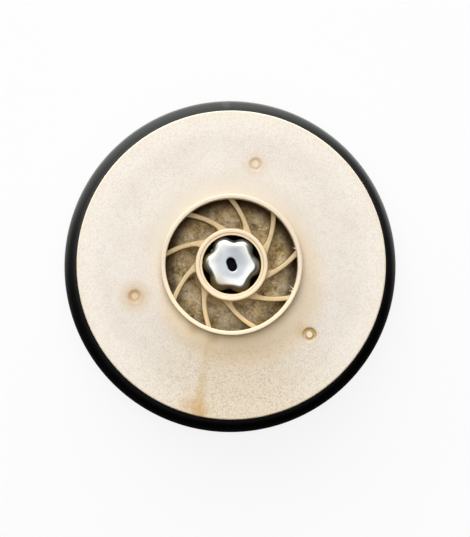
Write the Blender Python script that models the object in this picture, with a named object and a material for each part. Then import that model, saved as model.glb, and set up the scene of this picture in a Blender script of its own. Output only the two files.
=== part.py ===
"""One stage of a multistage pump: a closed rotor (impeller) on a six-lobed shaft, lying over its guide disc.

The stage lies flat with its inlet eye up. Z is the shaft's axis and z = 0 is the flat back of the guide.
Every length below is in millimetres and every angle in degrees, and MM turns a length into metres.
"""

import math

import bmesh
import bpy

MM = 0.001
GAP = 0.3
ROUND_STEPS = 72
SLOPE_STEP = 0.01
LOBES = 6
SMOOTH_ANGLE = 35.0

# Heights of the flat faces, from the back of the guide up to the rim of the eye
COVER_THICK = 1.6
PLATE_BOTTOM = 8.0
PLATE_TOP = 10.0
ROTOR_CLEARANCE = 5.2
SHROUD_THICK = 1.8
PASSAGE_HEIGHT = 5.0
NECK_HEIGHT = 4.0
BACK_BOTTOM = PLATE_TOP + ROTOR_CLEARANCE
BACK_TOP = BACK_BOTTOM + SHROUD_THICK
FRONT_BOTTOM = BACK_TOP + PASSAGE_HEIGHT
FRONT_TOP = FRONT_BOTTOM + SHROUD_THICK
NECK_TOP = FRONT_TOP + NECK_HEIGHT
HUB_TOP = NECK_TOP - 0.5
SHAFT_TOP = NECK_TOP - 0.2
SHAFT_BOTTOM = 0.6

# Rotor
DISC_R = 41.25
EDGE_BREAK = 0.3
NECK_OUT_R = 18.7
NECK_IN_R = 17.6
NECK_FOOT = 0.8
HUB_R = 9.6
HUB_LIP = 0.7
HUB_LIP_STEPS = 4
COUNTERBORE_R = 8.2
COUNTERBORE_DEPTH = 6.0
BORE_LOBE_R = 8.05
BORE_VALLEY_R = 6.8

# Rotor vanes: the centre line turns by VANE_TURN_IN for each step outwards inside the eye, and opens up to
# VANE_TURN_OUT at the rim. Both are the cotangent of the angle between the vane and the circle through it.
VANES = 9
VANE_THICK = 1.35
VANE_IN_R = 10.35
VANE_OUT_R = 40.5
VANE_TURN_IN = 0.80
VANE_TURN_OUT = 1.70
VANE_MARK_R = 11.73
VANE_MARK_ANGLE = 71.5
VANE_RAISED_R = 16.7
VANE_LOWERED_R = 16.85
VANE_RAISED_TOP = FRONT_BOTTOM + 1.5
VANE_RAISED_STEPS = 5
VANE_LOWERED_STEPS = 20

# Shaft and the sleeve that turns in the bush
SHAFT_LOBE_R = 7.75
SHAFT_VALLEY_R = 6.5
SHAFT_TURNED_BY = -5.0
CHAMFER = 1.4
END_LOBE_R = SHAFT_LOBE_R - CHAMFER
END_VALLEY_R = 5.5
SLOT_WIDE = 2.5
SLOT_LONG = 3.9
SLOT_DEPTH = 3.0
SLOT_ANGLE = 110.0
SLOT_STEPS = 8
CUTTER_PROUD = 1.0
SLEEVE_R = 8.9
SLEEVE_BOTTOM = 1.2

# Guide
RIM_R = 45.5
RIM_ROUND = 3.8
RIM_ROUND_STEPS = 8
RIM_IN_R = RIM_R - RIM_ROUND
RIM_BOTTOM = PLATE_TOP - RIM_ROUND
COVER_IN_R = 19.5
COVER_OUT_R = 44.8
BUSH_IN_R = SLEEVE_R + GAP
BUSH_OUT_R = 11.0
BOSS_OUT_R = 13.2
WASHER_IN_R = 8.3
WASHER_OUT_R = 12.6
WASHER_THICK = 1.0
WASHER_BOTTOM = PLATE_TOP - WASHER_THICK
BOSS_TOP = WASHER_BOTTOM - GAP
SLEEVE_TOP = BOSS_TOP - 0.1
HUB_BOTTOM = PLATE_TOP + GAP

RETURN_VANES = 7
RETURN_THICK = 1.8
RETURN_IN_R = 14.2
RETURN_OUT_R = 44.0
RETURN_TURN = -0.9
RETURN_RAISED_R = 40.0
RETURN_RAISED_STEPS = 14
RETURN_LOWERED_R = 40.4
RETURN_LOWERED_STEPS = 3


def clear_scene():
    for obj in list(bpy.data.objects):
        bpy.data.objects.remove(obj, do_unlink=True)


def finish_of(name, colour, roughness, metallic):
    """A plain Principled material."""
    made = bpy.data.materials.new(name)
    made.use_nodes = True
    shader = made.node_tree.nodes["Principled BSDF"]
    shader.inputs["Base Color"].default_value = (*colour, 1.0)
    shader.inputs["Roughness"].default_value = roughness
    shader.inputs["Metallic"].default_value = metallic
    return made


def place(name, mesh, finish, parent):
    """Adds the mesh as an object, smooth over its round faces and sharp at its corners."""
    mesh.materials.append(finish)
    mesh.shade_smooth()
    mesh.set_sharp_from_angle(angle=math.radians(SMOOTH_ANGLE))
    made = bpy.data.objects.new(name, mesh)
    bpy.context.scene.collection.objects.link(made)
    made.parent = parent
    return made


def circle(radius):
    """The same radius at every angle."""
    return lambda angle: radius


def lobed(lobe_r, valley_r):
    """A radius that swings between the lobes and the valleys of the shaft."""
    middle = (lobe_r + valley_r) / 2
    swing = (lobe_r - valley_r) / 2
    return lambda angle: middle + swing * math.cos(LOBES * (angle - math.radians(SHAFT_TURNED_BY)))


def rings_to_mesh(name, rings, closed):
    """Joins rings of (outline, height) in order. A closed set is a tube's whole section, an open one gets end caps."""
    work = bmesh.new()
    loops = []
    for outline, height in rings:
        loop = []
        for step in range(ROUND_STEPS):
            angle = math.tau * step / ROUND_STEPS
            radius = outline(angle) * MM
            loop.append(work.verts.new((radius * math.cos(angle), radius * math.sin(angle), height * MM)))
        loops.append(loop)
    pairs = list(zip(loops, loops[1:]))
    if closed:
        pairs.append((loops[-1], loops[0]))
    else:
        work.faces.new(loops[0])
        work.faces.new(loops[-1])
    for low, high in pairs:
        for step in range(ROUND_STEPS):
            after = (step + 1) % ROUND_STEPS
            work.faces.new((low[step], low[after], high[after], high[step]))
    bmesh.ops.recalc_face_normals(work, faces=work.faces)
    mesh = bpy.data.meshes.new(name)
    work.to_mesh(mesh)
    work.free()
    return mesh


def turned(name, profile, finish, parent):
    """A ring turned from a closed profile of (radius, height)."""
    rings = [(circle(radius), height) for radius, height in profile]
    return place(name, rings_to_mesh(name, rings, closed=True), finish, parent)


def arc(centre_r, centre_z, radius, start, end, steps):
    """Points of a profile along an arc, from one angle to another."""
    points = []
    for step in range(steps + 1):
        angle = math.radians(start + (end - start) * step / steps)
        points.append((centre_r + radius * math.cos(angle), centre_z + radius * math.sin(angle)))
    return points


def vane_angle(radius):
    """The angle of a rotor vane's centre line, in radians."""
    inner = VANE_TURN_IN * math.log(min(radius, NECK_IN_R) / VANE_MARK_R)
    outer = 0.0
    if radius > NECK_IN_R:
        slope = (VANE_TURN_OUT - VANE_TURN_IN) / (VANE_OUT_R - NECK_IN_R)
        outer = (VANE_TURN_IN - slope * NECK_IN_R) * math.log(radius / NECK_IN_R)
        outer += slope * (radius - NECK_IN_R)
    return math.radians(VANE_MARK_ANGLE) + inner + outer


def return_angle(radius):
    """The angle of a return vane's centre line, in radians. It turns the other way."""
    return RETURN_TURN * math.log(radius / RETURN_IN_R)


def blade_mesh(name, angle_at, stations, thick, bottom):
    """A curved blade of even thickness. Each station is (radius, height of the top edge)."""
    work = bmesh.new()
    sections = []
    for radius, top in stations:
        angle = angle_at(radius)
        change = angle_at(radius + SLOPE_STEP) - angle_at(radius - SLOPE_STEP)
        turn = radius * change / (2 * SLOPE_STEP)
        length = math.hypot(1.0, turn)
        along = (1.0 / length, turn / length)
        section = []
        for side, height in ((-1, bottom), (1, bottom), (1, top), (-1, top)):
            out = radius - side * along[1] * thick / 2
            over = side * along[0] * thick / 2
            x = out * math.cos(angle) - over * math.sin(angle)
            y = out * math.sin(angle) + over * math.cos(angle)
            section.append(work.verts.new((x * MM, y * MM, height * MM)))
        sections.append(section)
    for low, high in zip(sections, sections[1:]):
        for corner in range(4):
            after = (corner + 1) % 4
            work.faces.new((low[corner], low[after], high[after], high[corner]))
    work.faces.new(sections[0])
    work.faces.new(sections[-1])
    bmesh.ops.recalc_face_normals(work, faces=work.faces)
    mesh = bpy.data.meshes.new(name)
    work.to_mesh(mesh)
    work.free()
    return mesh


def even_steps(start, end, count):
    return [start + (end - start) * step / count for step in range(count + 1)]


def ring_of_blades(name, count, mesh, finish, parent):
    """Copies of one blade, each its own object turned about the shaft."""
    for number in range(count):
        blade = place(f"{name}_{number + 1}", mesh.copy(), finish, parent)
        blade.rotation_euler.z = math.tau * number / count


def make_guide(parent, black, rubber, steel):
    """The fixed disc behind the rotor: a plate with a round rim, return vanes, a back cover and the bearing."""
    turned(
        "guide_disc",
        [
            (BOSS_OUT_R + GAP, PLATE_BOTTOM),
            (RIM_IN_R - GAP, PLATE_BOTTOM),
            (RIM_IN_R - GAP, PLATE_TOP),
            (BOSS_OUT_R + GAP, PLATE_TOP),
        ],
        black,
        parent,
    )
    rounded = arc(RIM_IN_R, RIM_BOTTOM, RIM_ROUND, 0, 90, RIM_ROUND_STEPS)
    turned("guide_rim", [(RIM_IN_R, RIM_BOTTOM), *rounded], black, parent)
    turned(
        "back_cover",
        [
            (COVER_IN_R, 0.0),
            (COVER_OUT_R - EDGE_BREAK, 0.0),
            (COVER_OUT_R, EDGE_BREAK),
            (COVER_OUT_R, COVER_THICK - EDGE_BREAK),
            (COVER_OUT_R - EDGE_BREAK, COVER_THICK),
            (COVER_IN_R, COVER_THICK),
        ],
        black,
        parent,
    )
    raised = PLATE_BOTTOM - GAP
    lowered = RIM_BOTTOM - GAP
    under_plate = even_steps(RETURN_IN_R, RETURN_RAISED_R, RETURN_RAISED_STEPS)
    under_rim = even_steps(RETURN_LOWERED_R, RETURN_OUT_R, RETURN_LOWERED_STEPS)
    stations = [(radius, raised) for radius in under_plate]
    stations += [(radius, lowered) for radius in under_rim]
    blade = blade_mesh("return_vane", return_angle, stations, RETURN_THICK, COVER_THICK + GAP)
    ring_of_blades("return_vane", RETURN_VANES, blade, black, parent)
    turned(
        "bearing_boss",
        [
            (BUSH_OUT_R + GAP, SLEEVE_BOTTOM),
            (BOSS_OUT_R, SLEEVE_BOTTOM),
            (BOSS_OUT_R, BOSS_TOP),
            (BUSH_OUT_R + GAP, BOSS_TOP),
        ],
        black,
        parent,
    )
    turned(
        "bearing_bush",
        [
            (BUSH_IN_R, SLEEVE_BOTTOM),
            (BUSH_OUT_R, SLEEVE_BOTTOM),
            (BUSH_OUT_R, BOSS_TOP),
            (BUSH_IN_R, BOSS_TOP),
        ],
        rubber,
        parent,
    )
    turned(
        "thrust_washer",
        [
            (WASHER_IN_R, WASHER_BOTTOM),
            (WASHER_OUT_R, WASHER_BOTTOM),
            (WASHER_OUT_R, PLATE_TOP),
            (WASHER_IN_R, PLATE_TOP),
        ],
        steel,
        parent,
    )


def make_shrouds(parent, beige):
    """The two discs that close the vane passages. The front one carries the neck of the eye."""
    turned(
        "back_shroud",
        [
            (HUB_R + GAP, BACK_BOTTOM),
            (DISC_R - EDGE_BREAK, BACK_BOTTOM),
            (DISC_R, BACK_BOTTOM + EDGE_BREAK),
            (DISC_R, BACK_TOP - EDGE_BREAK),
            (DISC_R - EDGE_BREAK, BACK_TOP),
            (HUB_R + GAP, BACK_TOP),
        ],
        beige,
        parent,
    )
    turned(
        "front_shroud",
        [
            (NECK_IN_R, FRONT_BOTTOM),
            (DISC_R - EDGE_BREAK, FRONT_BOTTOM),
            (DISC_R, FRONT_BOTTOM + EDGE_BREAK),
            (DISC_R, FRONT_TOP - EDGE_BREAK),
            (DISC_R - EDGE_BREAK, FRONT_TOP),
            (NECK_OUT_R + NECK_FOOT, FRONT_TOP),
            (NECK_OUT_R, FRONT_TOP + NECK_FOOT),
            (NECK_OUT_R, NECK_TOP - EDGE_BREAK),
            (NECK_OUT_R - EDGE_BREAK, NECK_TOP),
            (NECK_IN_R + EDGE_BREAK, NECK_TOP),
            (NECK_IN_R, NECK_TOP - EDGE_BREAK),
        ],
        beige,
        parent,
    )


def make_hub(parent, beige):
    """The hub: a round counterbore at the top, and below it the lobed bore that the shaft drives."""
    bore = lobed(BORE_LOBE_R, BORE_VALLEY_R)
    step = HUB_TOP - COUNTERBORE_DEPTH
    lip = arc(HUB_R - HUB_LIP, HUB_TOP - HUB_LIP, HUB_LIP, 0, 90, HUB_LIP_STEPS)
    rings = [(circle(HUB_R), HUB_BOTTOM)]
    rings += [(circle(radius), height) for radius, height in lip]
    rings += [(circle(COUNTERBORE_R), HUB_TOP), (circle(COUNTERBORE_R), step)]
    rings += [(bore, step), (bore, HUB_BOTTOM)]
    place("hub", rings_to_mesh("hub", rings, closed=True), beige, parent)


def make_vanes(parent, beige):
    raised = even_steps(VANE_IN_R, VANE_RAISED_R, VANE_RAISED_STEPS)
    lowered = even_steps(VANE_LOWERED_R, VANE_OUT_R, VANE_LOWERED_STEPS)
    stations = [(radius, VANE_RAISED_TOP) for radius in raised]
    stations += [(radius, FRONT_BOTTOM - GAP) for radius in lowered]
    blade = blade_mesh("vane", vane_angle, stations, VANE_THICK, BACK_TOP + GAP)
    ring_of_blades("vane", VANES, blade, beige, parent)


def make_shaft(parent, steel):
    """The six-lobed shaft, chamfered at both ends, with an oval recess in its top face."""
    full = lobed(SHAFT_LOBE_R, SHAFT_VALLEY_R)
    end = lobed(END_LOBE_R, END_VALLEY_R)
    rings = [
        (end, SHAFT_BOTTOM),
        (full, SHAFT_BOTTOM + CHAMFER),
        (full, SHAFT_TOP - CHAMFER),
        (end, SHAFT_TOP),
    ]
    shaft = place("shaft", rings_to_mesh("shaft", rings, closed=False), steel, parent)
    cut_slot(shaft)


def cut_slot(shaft):
    """Cuts the oval recess: a straight-sided slot with round ends."""
    work = bmesh.new()
    reach = (SLOT_LONG - SLOT_WIDE) / 2
    outline = []
    for end in (1, -1):
        for step in range(SLOT_STEPS + 1):
            angle = math.radians(-90 * end + 180 * step / SLOT_STEPS)
            x = end * reach + SLOT_WIDE / 2 * math.cos(angle)
            y = SLOT_WIDE / 2 * math.sin(angle)
            outline.append(work.verts.new((x * MM, y * MM, 0.0)))
    floor = work.faces.new(outline)
    lifted = bmesh.ops.extrude_face_region(work, geom=[floor])
    risen = [item for item in lifted["geom"] if isinstance(item, bmesh.types.BMVert)]
    bmesh.ops.translate(work, verts=risen, vec=(0.0, 0.0, (SLOT_DEPTH + CUTTER_PROUD) * MM))
    bmesh.ops.recalc_face_normals(work, faces=work.faces)
    mesh = bpy.data.meshes.new("slot_cutter")
    work.to_mesh(mesh)
    work.free()
    cutter = bpy.data.objects.new("slot_cutter", mesh)
    bpy.context.scene.collection.objects.link(cutter)
    cutter.location.z = (SHAFT_TOP - SLOT_DEPTH) * MM
    cutter.rotation_euler.z = math.radians(SLOT_ANGLE)
    cutter.hide_render = True
    cutter.display_type = "WIRE"
    cut = shaft.modifiers.new("oval_recess", "BOOLEAN")
    cut.operation = "DIFFERENCE"
    cut.solver = "EXACT"
    cut.object = cutter


def make_sleeve(parent, steel):
    """The round sleeve on the shaft that turns in the bush."""
    bore = lobed(BORE_LOBE_R, BORE_VALLEY_R)
    rings = [
        (circle(SLEEVE_R), SLEEVE_BOTTOM),
        (circle(SLEEVE_R), SLEEVE_TOP),
        (bore, SLEEVE_TOP),
        (bore, SLEEVE_BOTTOM),
    ]
    place("shaft_sleeve", rings_to_mesh("shaft_sleeve", rings, closed=True), steel, parent)


def make_pivot(name):
    """An empty on the shaft's axis."""
    made = bpy.data.objects.new(name, None)
    bpy.context.scene.collection.objects.link(made)
    return made


def main():
    clear_scene()
    beige = finish_of("beige_plastic", (0.86, 0.80, 0.70), 0.55, 0.0)
    black = finish_of("black_plastic", (0.02, 0.02, 0.02), 0.40, 0.0)
    steel = finish_of("steel", (0.72, 0.73, 0.75), 0.25, 1.0)
    rubber = finish_of("rubber", (0.03, 0.03, 0.03), 0.80, 0.0)
    guide = make_pivot("guide")
    rotor = make_pivot("rotor")
    rotor.parent = guide
    make_guide(guide, black, rubber, steel)
    make_shrouds(rotor, beige)
    make_hub(rotor, beige)
    make_vanes(rotor, beige)
    make_shaft(rotor, steel)
    make_sleeve(rotor, steel)


main()
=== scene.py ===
# %% [markdown]
# # One stage of a pump, looked at along its shaft
#
# A beige moulded rotor runs on a six-lobed steel shaft, over a black guide disc. The photograph looks straight down
# on the rotor's front, so most of the work is in four things: the cream plastic, the nine vanes inside the eye, the
# bright end of the shaft, and the black rounded rim that shows all round behind the disc.
#
# The construction is already there as a fixed frame of 27 solids. This lesson builds the looks around it, piece by
# piece. Nothing in the frame is moved.

# %% Load the frame
import math

import bmesh
import bpy
from mathutils import Matrix, Vector, noise


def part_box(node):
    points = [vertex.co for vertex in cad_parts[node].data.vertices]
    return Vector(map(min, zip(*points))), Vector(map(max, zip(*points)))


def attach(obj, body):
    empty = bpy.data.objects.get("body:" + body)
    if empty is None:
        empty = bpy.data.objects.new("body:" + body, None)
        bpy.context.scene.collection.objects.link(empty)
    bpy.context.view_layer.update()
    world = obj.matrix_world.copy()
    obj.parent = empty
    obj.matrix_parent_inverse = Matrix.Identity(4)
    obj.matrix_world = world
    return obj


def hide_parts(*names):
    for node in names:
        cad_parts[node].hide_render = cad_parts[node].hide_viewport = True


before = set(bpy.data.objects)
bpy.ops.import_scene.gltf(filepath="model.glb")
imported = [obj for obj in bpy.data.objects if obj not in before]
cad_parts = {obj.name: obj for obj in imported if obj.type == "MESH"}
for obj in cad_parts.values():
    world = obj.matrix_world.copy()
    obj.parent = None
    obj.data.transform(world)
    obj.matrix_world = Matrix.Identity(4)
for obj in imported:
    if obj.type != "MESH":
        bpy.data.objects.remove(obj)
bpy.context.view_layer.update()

MM = 0.001
print("nodes in the frame:", len(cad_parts))

# %% [markdown]
# ## Sizes
#
# Every outside size is read from the frame's boxes, so the looks can't drift away from the construction. What a box
# can't tell, such as the wall of a tube, is a named size here. All of them are real sizes in metres.

# %% Sizes of the rotor
front_low, front_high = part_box("front_shroud")
back_low, back_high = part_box("back_shroud")
hub_low, hub_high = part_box("hub")
shaft_low, shaft_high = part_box("shaft")
sleeve_low, sleeve_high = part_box("shaft_sleeve")

DISC_R = front_high.x
BACK_Z = back_low.z
FLOOR_Z = back_high.z
PASSAGE_TOP = front_low.z
FRONT_Z = PASSAGE_TOP + (FLOOR_Z - BACK_Z)
NECK_TOP = front_high.z
NECK_IN_R = 17.6 * MM
NECK_OUT_R = 18.7 * MM
HUB_R = hub_high.x
HUB_TOP = hub_high.z
HUB_BOTTOM = hub_low.z
COUNTERBORE_R = 7.85 * MM
COUNTERBORE_DEPTH = 6.0 * MM
LOBES = 6
LOBES_TURNED_BY = math.radians(-5.0)
BORE_LOBE_R = 7.80 * MM
BORE_VALLEY_R = 6.60 * MM
print(f"rotor {2 * DISC_R / MM:.1f} mm across, floor of the passages at {FLOOR_Z / MM:.1f} mm")

# %% Sizes of the guide
rim_low, rim_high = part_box("guide_rim")
plate_low, plate_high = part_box("guide_disc")
cover_low, cover_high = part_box("back_cover")
boss_low, boss_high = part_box("bearing_boss")
bush_low, bush_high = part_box("bearing_bush")
washer_low, washer_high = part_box("thrust_washer")

RIM_R = rim_high.x
RIM_BOTTOM = rim_low.z
RIM_ROUND = rim_high.z - rim_low.z
PLATE_TOP = plate_high.z
PLATE_BOTTOM = plate_low.z
print(f"guide {2 * RIM_R / MM:.1f} mm across, its rim rounded by {RIM_ROUND / MM:.1f} mm")

# %% [markdown]
# ## The camera
#
# The photographer held the camera above the stage, a little to the lower left: things that stand higher slide to the
# upper right in the picture. The picture is 470 by 537 pixels. The disc's radius in pixels gives the scale, and the
# black rim, which lies lower, looks a little smaller than it is, which gives the distance.

# %% Place the camera
PICTURE_WIDE = 470
PICTURE_HIGH = 537
DISC_R_PIXELS = 154.67
DISC_CENTRE_PIXELS = (231.48, 264.92)
CAMERA_DISTANCE = 0.58
CAMERA_TILT = math.radians(1.7)
CAMERA_SIDE = math.radians(225.0)

metres_a_pixel = DISC_R / DISC_R_PIXELS
aim = Vector((
    (PICTURE_WIDE / 2 - DISC_CENTRE_PIXELS[0]) * metres_a_pixel,
    (DISC_CENTRE_PIXELS[1] - PICTURE_HIGH / 2) * metres_a_pixel,
    FRONT_Z,
))
back = Vector((
    math.sin(CAMERA_TILT) * math.cos(CAMERA_SIDE),
    math.sin(CAMERA_TILT) * math.sin(CAMERA_SIDE),
    math.cos(CAMERA_TILT),
))
camera_data = bpy.data.cameras.new("camera")
camera_data.sensor_width = 36.0
camera_data.lens = camera_data.sensor_width * CAMERA_DISTANCE / (PICTURE_HIGH * metres_a_pixel)
camera = bpy.data.objects.new("camera", camera_data)
bpy.context.scene.collection.objects.link(camera)
camera.location = aim + back * CAMERA_DISTANCE
right = Vector((0.0, 1.0, 0.0)).cross(back).normalized()
up = back.cross(right)
camera.rotation_euler = Matrix((right, up, back)).transposed().to_euler()
bpy.context.scene.camera = camera
print(f"one pixel is {metres_a_pixel / MM:.4f} mm on the disc, lens {camera_data.lens:.0f} mm")

# %% [markdown]
# ## A short way to write node trees
#
# Materials and Geometry Nodes are both made of the same things: nodes, sockets and links. This small class adds a
# node, fills its sockets with numbers or with the output of another node, and gives the node back. With it a tree
# reads like a few sums.

# %% A helper for node trees
class Wires:
    """Adds nodes to one tree and joins them."""

    def __init__(self, tree):
        self.tree = tree

    def feed(self, socket, value):
        if isinstance(value, bpy.types.NodeSocket):
            self.tree.links.new(value, socket)
        else:
            socket.default_value = value

    def add(self, kind, inputs=None, **settings):
        node = self.tree.nodes.new(kind)
        node.location.x = 180 * len(self.tree.nodes)
        for name, value in settings.items():
            setattr(node, name, value)
        for name, value in (inputs or {}).items():
            self.feed(node.inputs[name], value)
        return node

    def math(self, operation, *values, clamp=False):
        node = self.add("ShaderNodeMath", operation=operation, use_clamp=clamp)
        for socket, value in zip(node.inputs, values):
            self.feed(socket, value)
        return node.outputs[0]

    def between(self, value, low, high, start=0.0, end=1.0):
        """Runs softly from start to end while value goes from low to high."""
        inputs = {"Value": value, "From Min": low, "From Max": high, "To Min": start, "To Max": end}
        node = self.add("ShaderNodeMapRange", inputs, interpolation_type="SMOOTHSTEP")
        return node.outputs[0]

    def tint(self, share, first, second):
        """Mixes two colours."""
        node = self.add("ShaderNodeMix", data_type="RGBA")
        for slot, value in ((0, share), (6, first), (7, second)):
            self.feed(node.inputs[slot], value)
        return node.outputs[2]


def group(name, kind, inputs, outputs):
    """A node group with named sockets. Each input is (name, socket type, default)."""
    tree = bpy.data.node_groups.new(name, kind)
    for label, socket_type, default in inputs:
        socket = tree.interface.new_socket(label, in_out="INPUT", socket_type=socket_type)
        if default is not None:
            socket.default_value = default
    for label, socket_type in outputs:
        tree.interface.new_socket(label, in_out="OUTPUT", socket_type=socket_type)
    wires = Wires(tree)
    return tree, wires, wires.add("NodeGroupInput").outputs, wires.add("NodeGroupOutput").inputs


# %% [markdown]
# ## Finishes that several materials share
#
# The plastic, the steel and the rubber all need the same few effects. Each is a small shader group that is built once:
#
# - *axis place* turns a point into its distance from the shaft and its height, because a turned thing gets dirty and
#   worn in rings;
# - *soft spot* is a round patch with a soft edge, for the warm haloes round the gates;
# - *streak* is a soft line that widens, for the weld line where two fronts of plastic met in the mould;
# - *grain* is two sizes of noise, one for the colour and one for the surface.

# %% Group: distance from the shaft and height
FLOAT = "NodeSocketFloat"
VECTOR = "NodeSocketVector"

axis_place, wires, given, result = group(
    "axis place", "ShaderNodeTree",
    [("Place", VECTOR, None)],
    [("Reach", FLOAT), ("Height", FLOAT)],
)
parts = wires.add("ShaderNodeSeparateXYZ", {0: given["Place"]}).outputs
reach = wires.math("SQRT", wires.math("ADD", wires.math("MULTIPLY", parts[0], parts[0]),
                                      wires.math("MULTIPLY", parts[1], parts[1])))
wires.feed(result["Reach"], reach)
wires.feed(result["Height"], parts[2])
print("group:", axis_place.name)

# %% Group: a round patch with a soft edge
soft_spot, wires, given, result = group(
    "soft spot", "ShaderNodeTree",
    [("Place", VECTOR, None), ("Centre", VECTOR, None), ("Full", FLOAT, 0.0), ("Gone", FLOAT, 0.003)],
    [("Mask", FLOAT)],
)
away = wires.add("ShaderNodeVectorMath", {0: given["Place"], 1: given["Centre"]}, operation="SUBTRACT").outputs[0]
flat = wires.add("ShaderNodeVectorMath", {0: away, 1: (1.0, 1.0, 0.0)}, operation="MULTIPLY").outputs[0]
gap = wires.add("ShaderNodeVectorMath", {0: flat}, operation="LENGTH").outputs["Value"]
wires.feed(result["Mask"], wires.between(gap, given["Full"], given["Gone"], 1.0, 0.0))
print("group:", soft_spot.name)

# %% Group: a soft line that widens from its start to its end
streak, wires, given, result = group(
    "streak", "ShaderNodeTree",
    [("Place", VECTOR, None), ("Start", VECTOR, None), ("Way", VECTOR, None), ("Long", FLOAT, 0.02),
     ("Narrow", FLOAT, 0.0005), ("Wide", FLOAT, 0.002)],
    [("Mask", FLOAT), ("Along", FLOAT)],
)
away = wires.add("ShaderNodeVectorMath", {0: given["Place"], 1: given["Start"]}, operation="SUBTRACT").outputs[0]
flat = wires.add("ShaderNodeVectorMath", {0: away, 1: (1.0, 1.0, 0.0)}, operation="MULTIPLY").outputs[0]
run = wires.add("ShaderNodeVectorMath", {0: flat, 1: given["Way"]}, operation="DOT_PRODUCT").outputs["Value"]
share = wires.math("DIVIDE", run, given["Long"], clamp=True)
off = wires.add("ShaderNodeVectorMath", {0: flat, 1: given["Way"]}, operation="CROSS_PRODUCT").outputs[0]
gap = wires.add("ShaderNodeVectorMath", {0: off}, operation="LENGTH").outputs["Value"]
width = wires.math("MULTIPLY_ADD", share, wires.math("SUBTRACT", given["Wide"], given["Narrow"]), given["Narrow"])
line = wires.between(wires.math("DIVIDE", gap, width), 0.0, 1.0, 1.0, 0.0)
started = wires.between(run, 0.0, 0.001)
wires.feed(result["Mask"], wires.math("MULTIPLY", line, started))
wires.feed(result["Along"], share)
print("group:", streak.name)

# %% Group: grain of two sizes
grain, wires, given, result = group(
    "grain", "ShaderNodeTree",
    [("Place", VECTOR, None), ("Cloud Size", FLOAT, 0.004), ("Speck Size", FLOAT, 0.0006)],
    [("Cloud", FLOAT), ("Speck", FLOAT)],
)
for label, size, detail in (("Cloud", "Cloud Size", 3.0), ("Speck", "Speck Size", 1.5)):
    scale = wires.math("DIVIDE", 1.0, given[size])
    inputs = {"Vector": given["Place"], "Scale": scale, "Detail": detail, "Roughness": 0.6}
    wires.feed(result[label], wires.add("ShaderNodeTexNoise", inputs).outputs[0])
print("group:", grain.name)

# %% [markdown]
# ## The marks on the front disc
#
# Three gates fed the mould, on one circle of the disc but not at even angles. Each left a shallow round recess with a
# nub in it, where the runner broke off, and a faint warm halo. Between two of them the melt met again: a brown line
# runs from the eye to the edge there. The geometry and the colour both need these places, so they are named once.

# %% Where the marks are
GATE_R = 27.5 * MM
GATE_PLACES = [(27.6, 76.5), (27.1, 198.1), (27.9, 318.2)]
GATE_DEPTHS = [0.20 * MM, 0.18 * MM, 0.50 * MM]
GATE_WALLS = [0.90 * MM, 1.00 * MM, 0.60 * MM]
GATE_CORES = [0.22, 0.60, 1.00]
GATE_TINT_AND_SHADE_SIDES = [Vector((0.3, 0.6, 0.0)) * MM, Vector((-0.8, 0.9, 0.0)) * MM, Vector((0.7, 0.9, 0.0)) * MM]
NUB_SHARES = [0.35, 0.20, 0.80]
GATES = [Vector((math.cos(math.radians(angle)), math.sin(math.radians(angle)), 0.0)) * radius * MM
         for radius, angle in GATE_PLACES]
GATE_ANGLES = [math.radians(angle) for radius, angle in GATE_PLACES]
HALO_WIDTHS = [4.6 * MM, 6.0 * MM, 4.0 * MM]
HALO_SHARES = [0.34, 0.55, 0.40]
BROWN_SPOTS = [((18.4, -17.4), 2.8, 0.30), ((-10.2, -17.0), 2.6, 0.34), ((-4.9, -19.6), 2.8, 0.42), ((-10.2, -38.0), 5.2, 0.56),
               ((-7.8, -38.8), 3.4, 0.36)]
GROOVE_R = 8.48 * MM
WARM_CENTRE = Vector((2.0 * MM, -36.0 * MM, 0.0))
STAIN_AND_SHADOW_CENTRE = Vector((2.2 * MM, -5.4 * MM, 0.0))
WELD_START = Vector((-6.3 * MM, -19.4 * MM, 0.0))
WELD_END = Vector((-8.9 * MM, -40.6 * MM, 0.0))
print("gates at", [tuple(round(part / MM, 1) for part in gate.xy) for gate in GATES], "mm")

# %% [markdown]
# ## Cream plastic
#
# The rotor is one colour of plastic, filled with short fibres that show as fine specks. It is near white where it is
# clean. It has yellowed at its edges and round the gates, and the water has left a brown film inside the passages,
# where nothing rubs it off. As the film is laid on by depth, it is partly painted shade too. Light and shade are also
# painted in: painted light on the near side of the eye's ring, the hub's lip and the ring's foot; painted shade beside
# the ring on the far side, in the hub's groove, in the gate recesses, round the ring's foot, on the vane sides, in the
# corners of the passages and in the counterbore; and a painted shadow with the stain below the ring. So the colour is a
# stack: clean cream, clouds, specks, yellow rings, painted light and shade, haloes, the weld line and then the film,
# each laid on by its own mask.

# %% Material: cream plastic
CREAM = (0.738, 0.665, 0.598, 1.0)
PALE_CREAM = (0.778, 0.714, 0.656, 1.0)
PALE_EDGE = (0.850, 0.778, 0.705, 1.0)
PALE_NUB = (0.850, 0.770, 0.600, 1.0)
LIP_PAINTED_LIGHT = (1.000, 0.810, 0.570, 1.0)
SPECK_BROWN = (0.400, 0.300, 0.190, 1.0)
WARM_CREAM = (0.700, 0.540, 0.330, 1.0)
YELLOWED = (0.815, 0.630, 0.375, 1.0)
HALO_BROWN = (0.560, 0.360, 0.170, 1.0)
GATE_BROWN = (0.420, 0.260, 0.080, 1.0)
WELD_BROWN = (0.560, 0.330, 0.110, 1.0)
FILM_BROWN = (0.790, 0.570, 0.230, 1.0)
FILM_GREY = (0.800, 0.655, 0.430, 1.0)
FILM_PALE = (0.930, 0.790, 0.550, 1.0)
NEAR_FOOT_PAINTED_LIGHT = (0.980, 0.800, 0.540, 1.0)
OCHRE = (0.720, 0.530, 0.255, 1.0)
STAIN_AND_SHADOW_BROWN = (0.740, 0.520, 0.250, 1.0)
FAR_SIDE_SHADE_GREY = (0.600, 0.530, 0.440, 1.0)
DEEP_BROWN = (0.048, 0.018, 0.002, 1.0)


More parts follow.
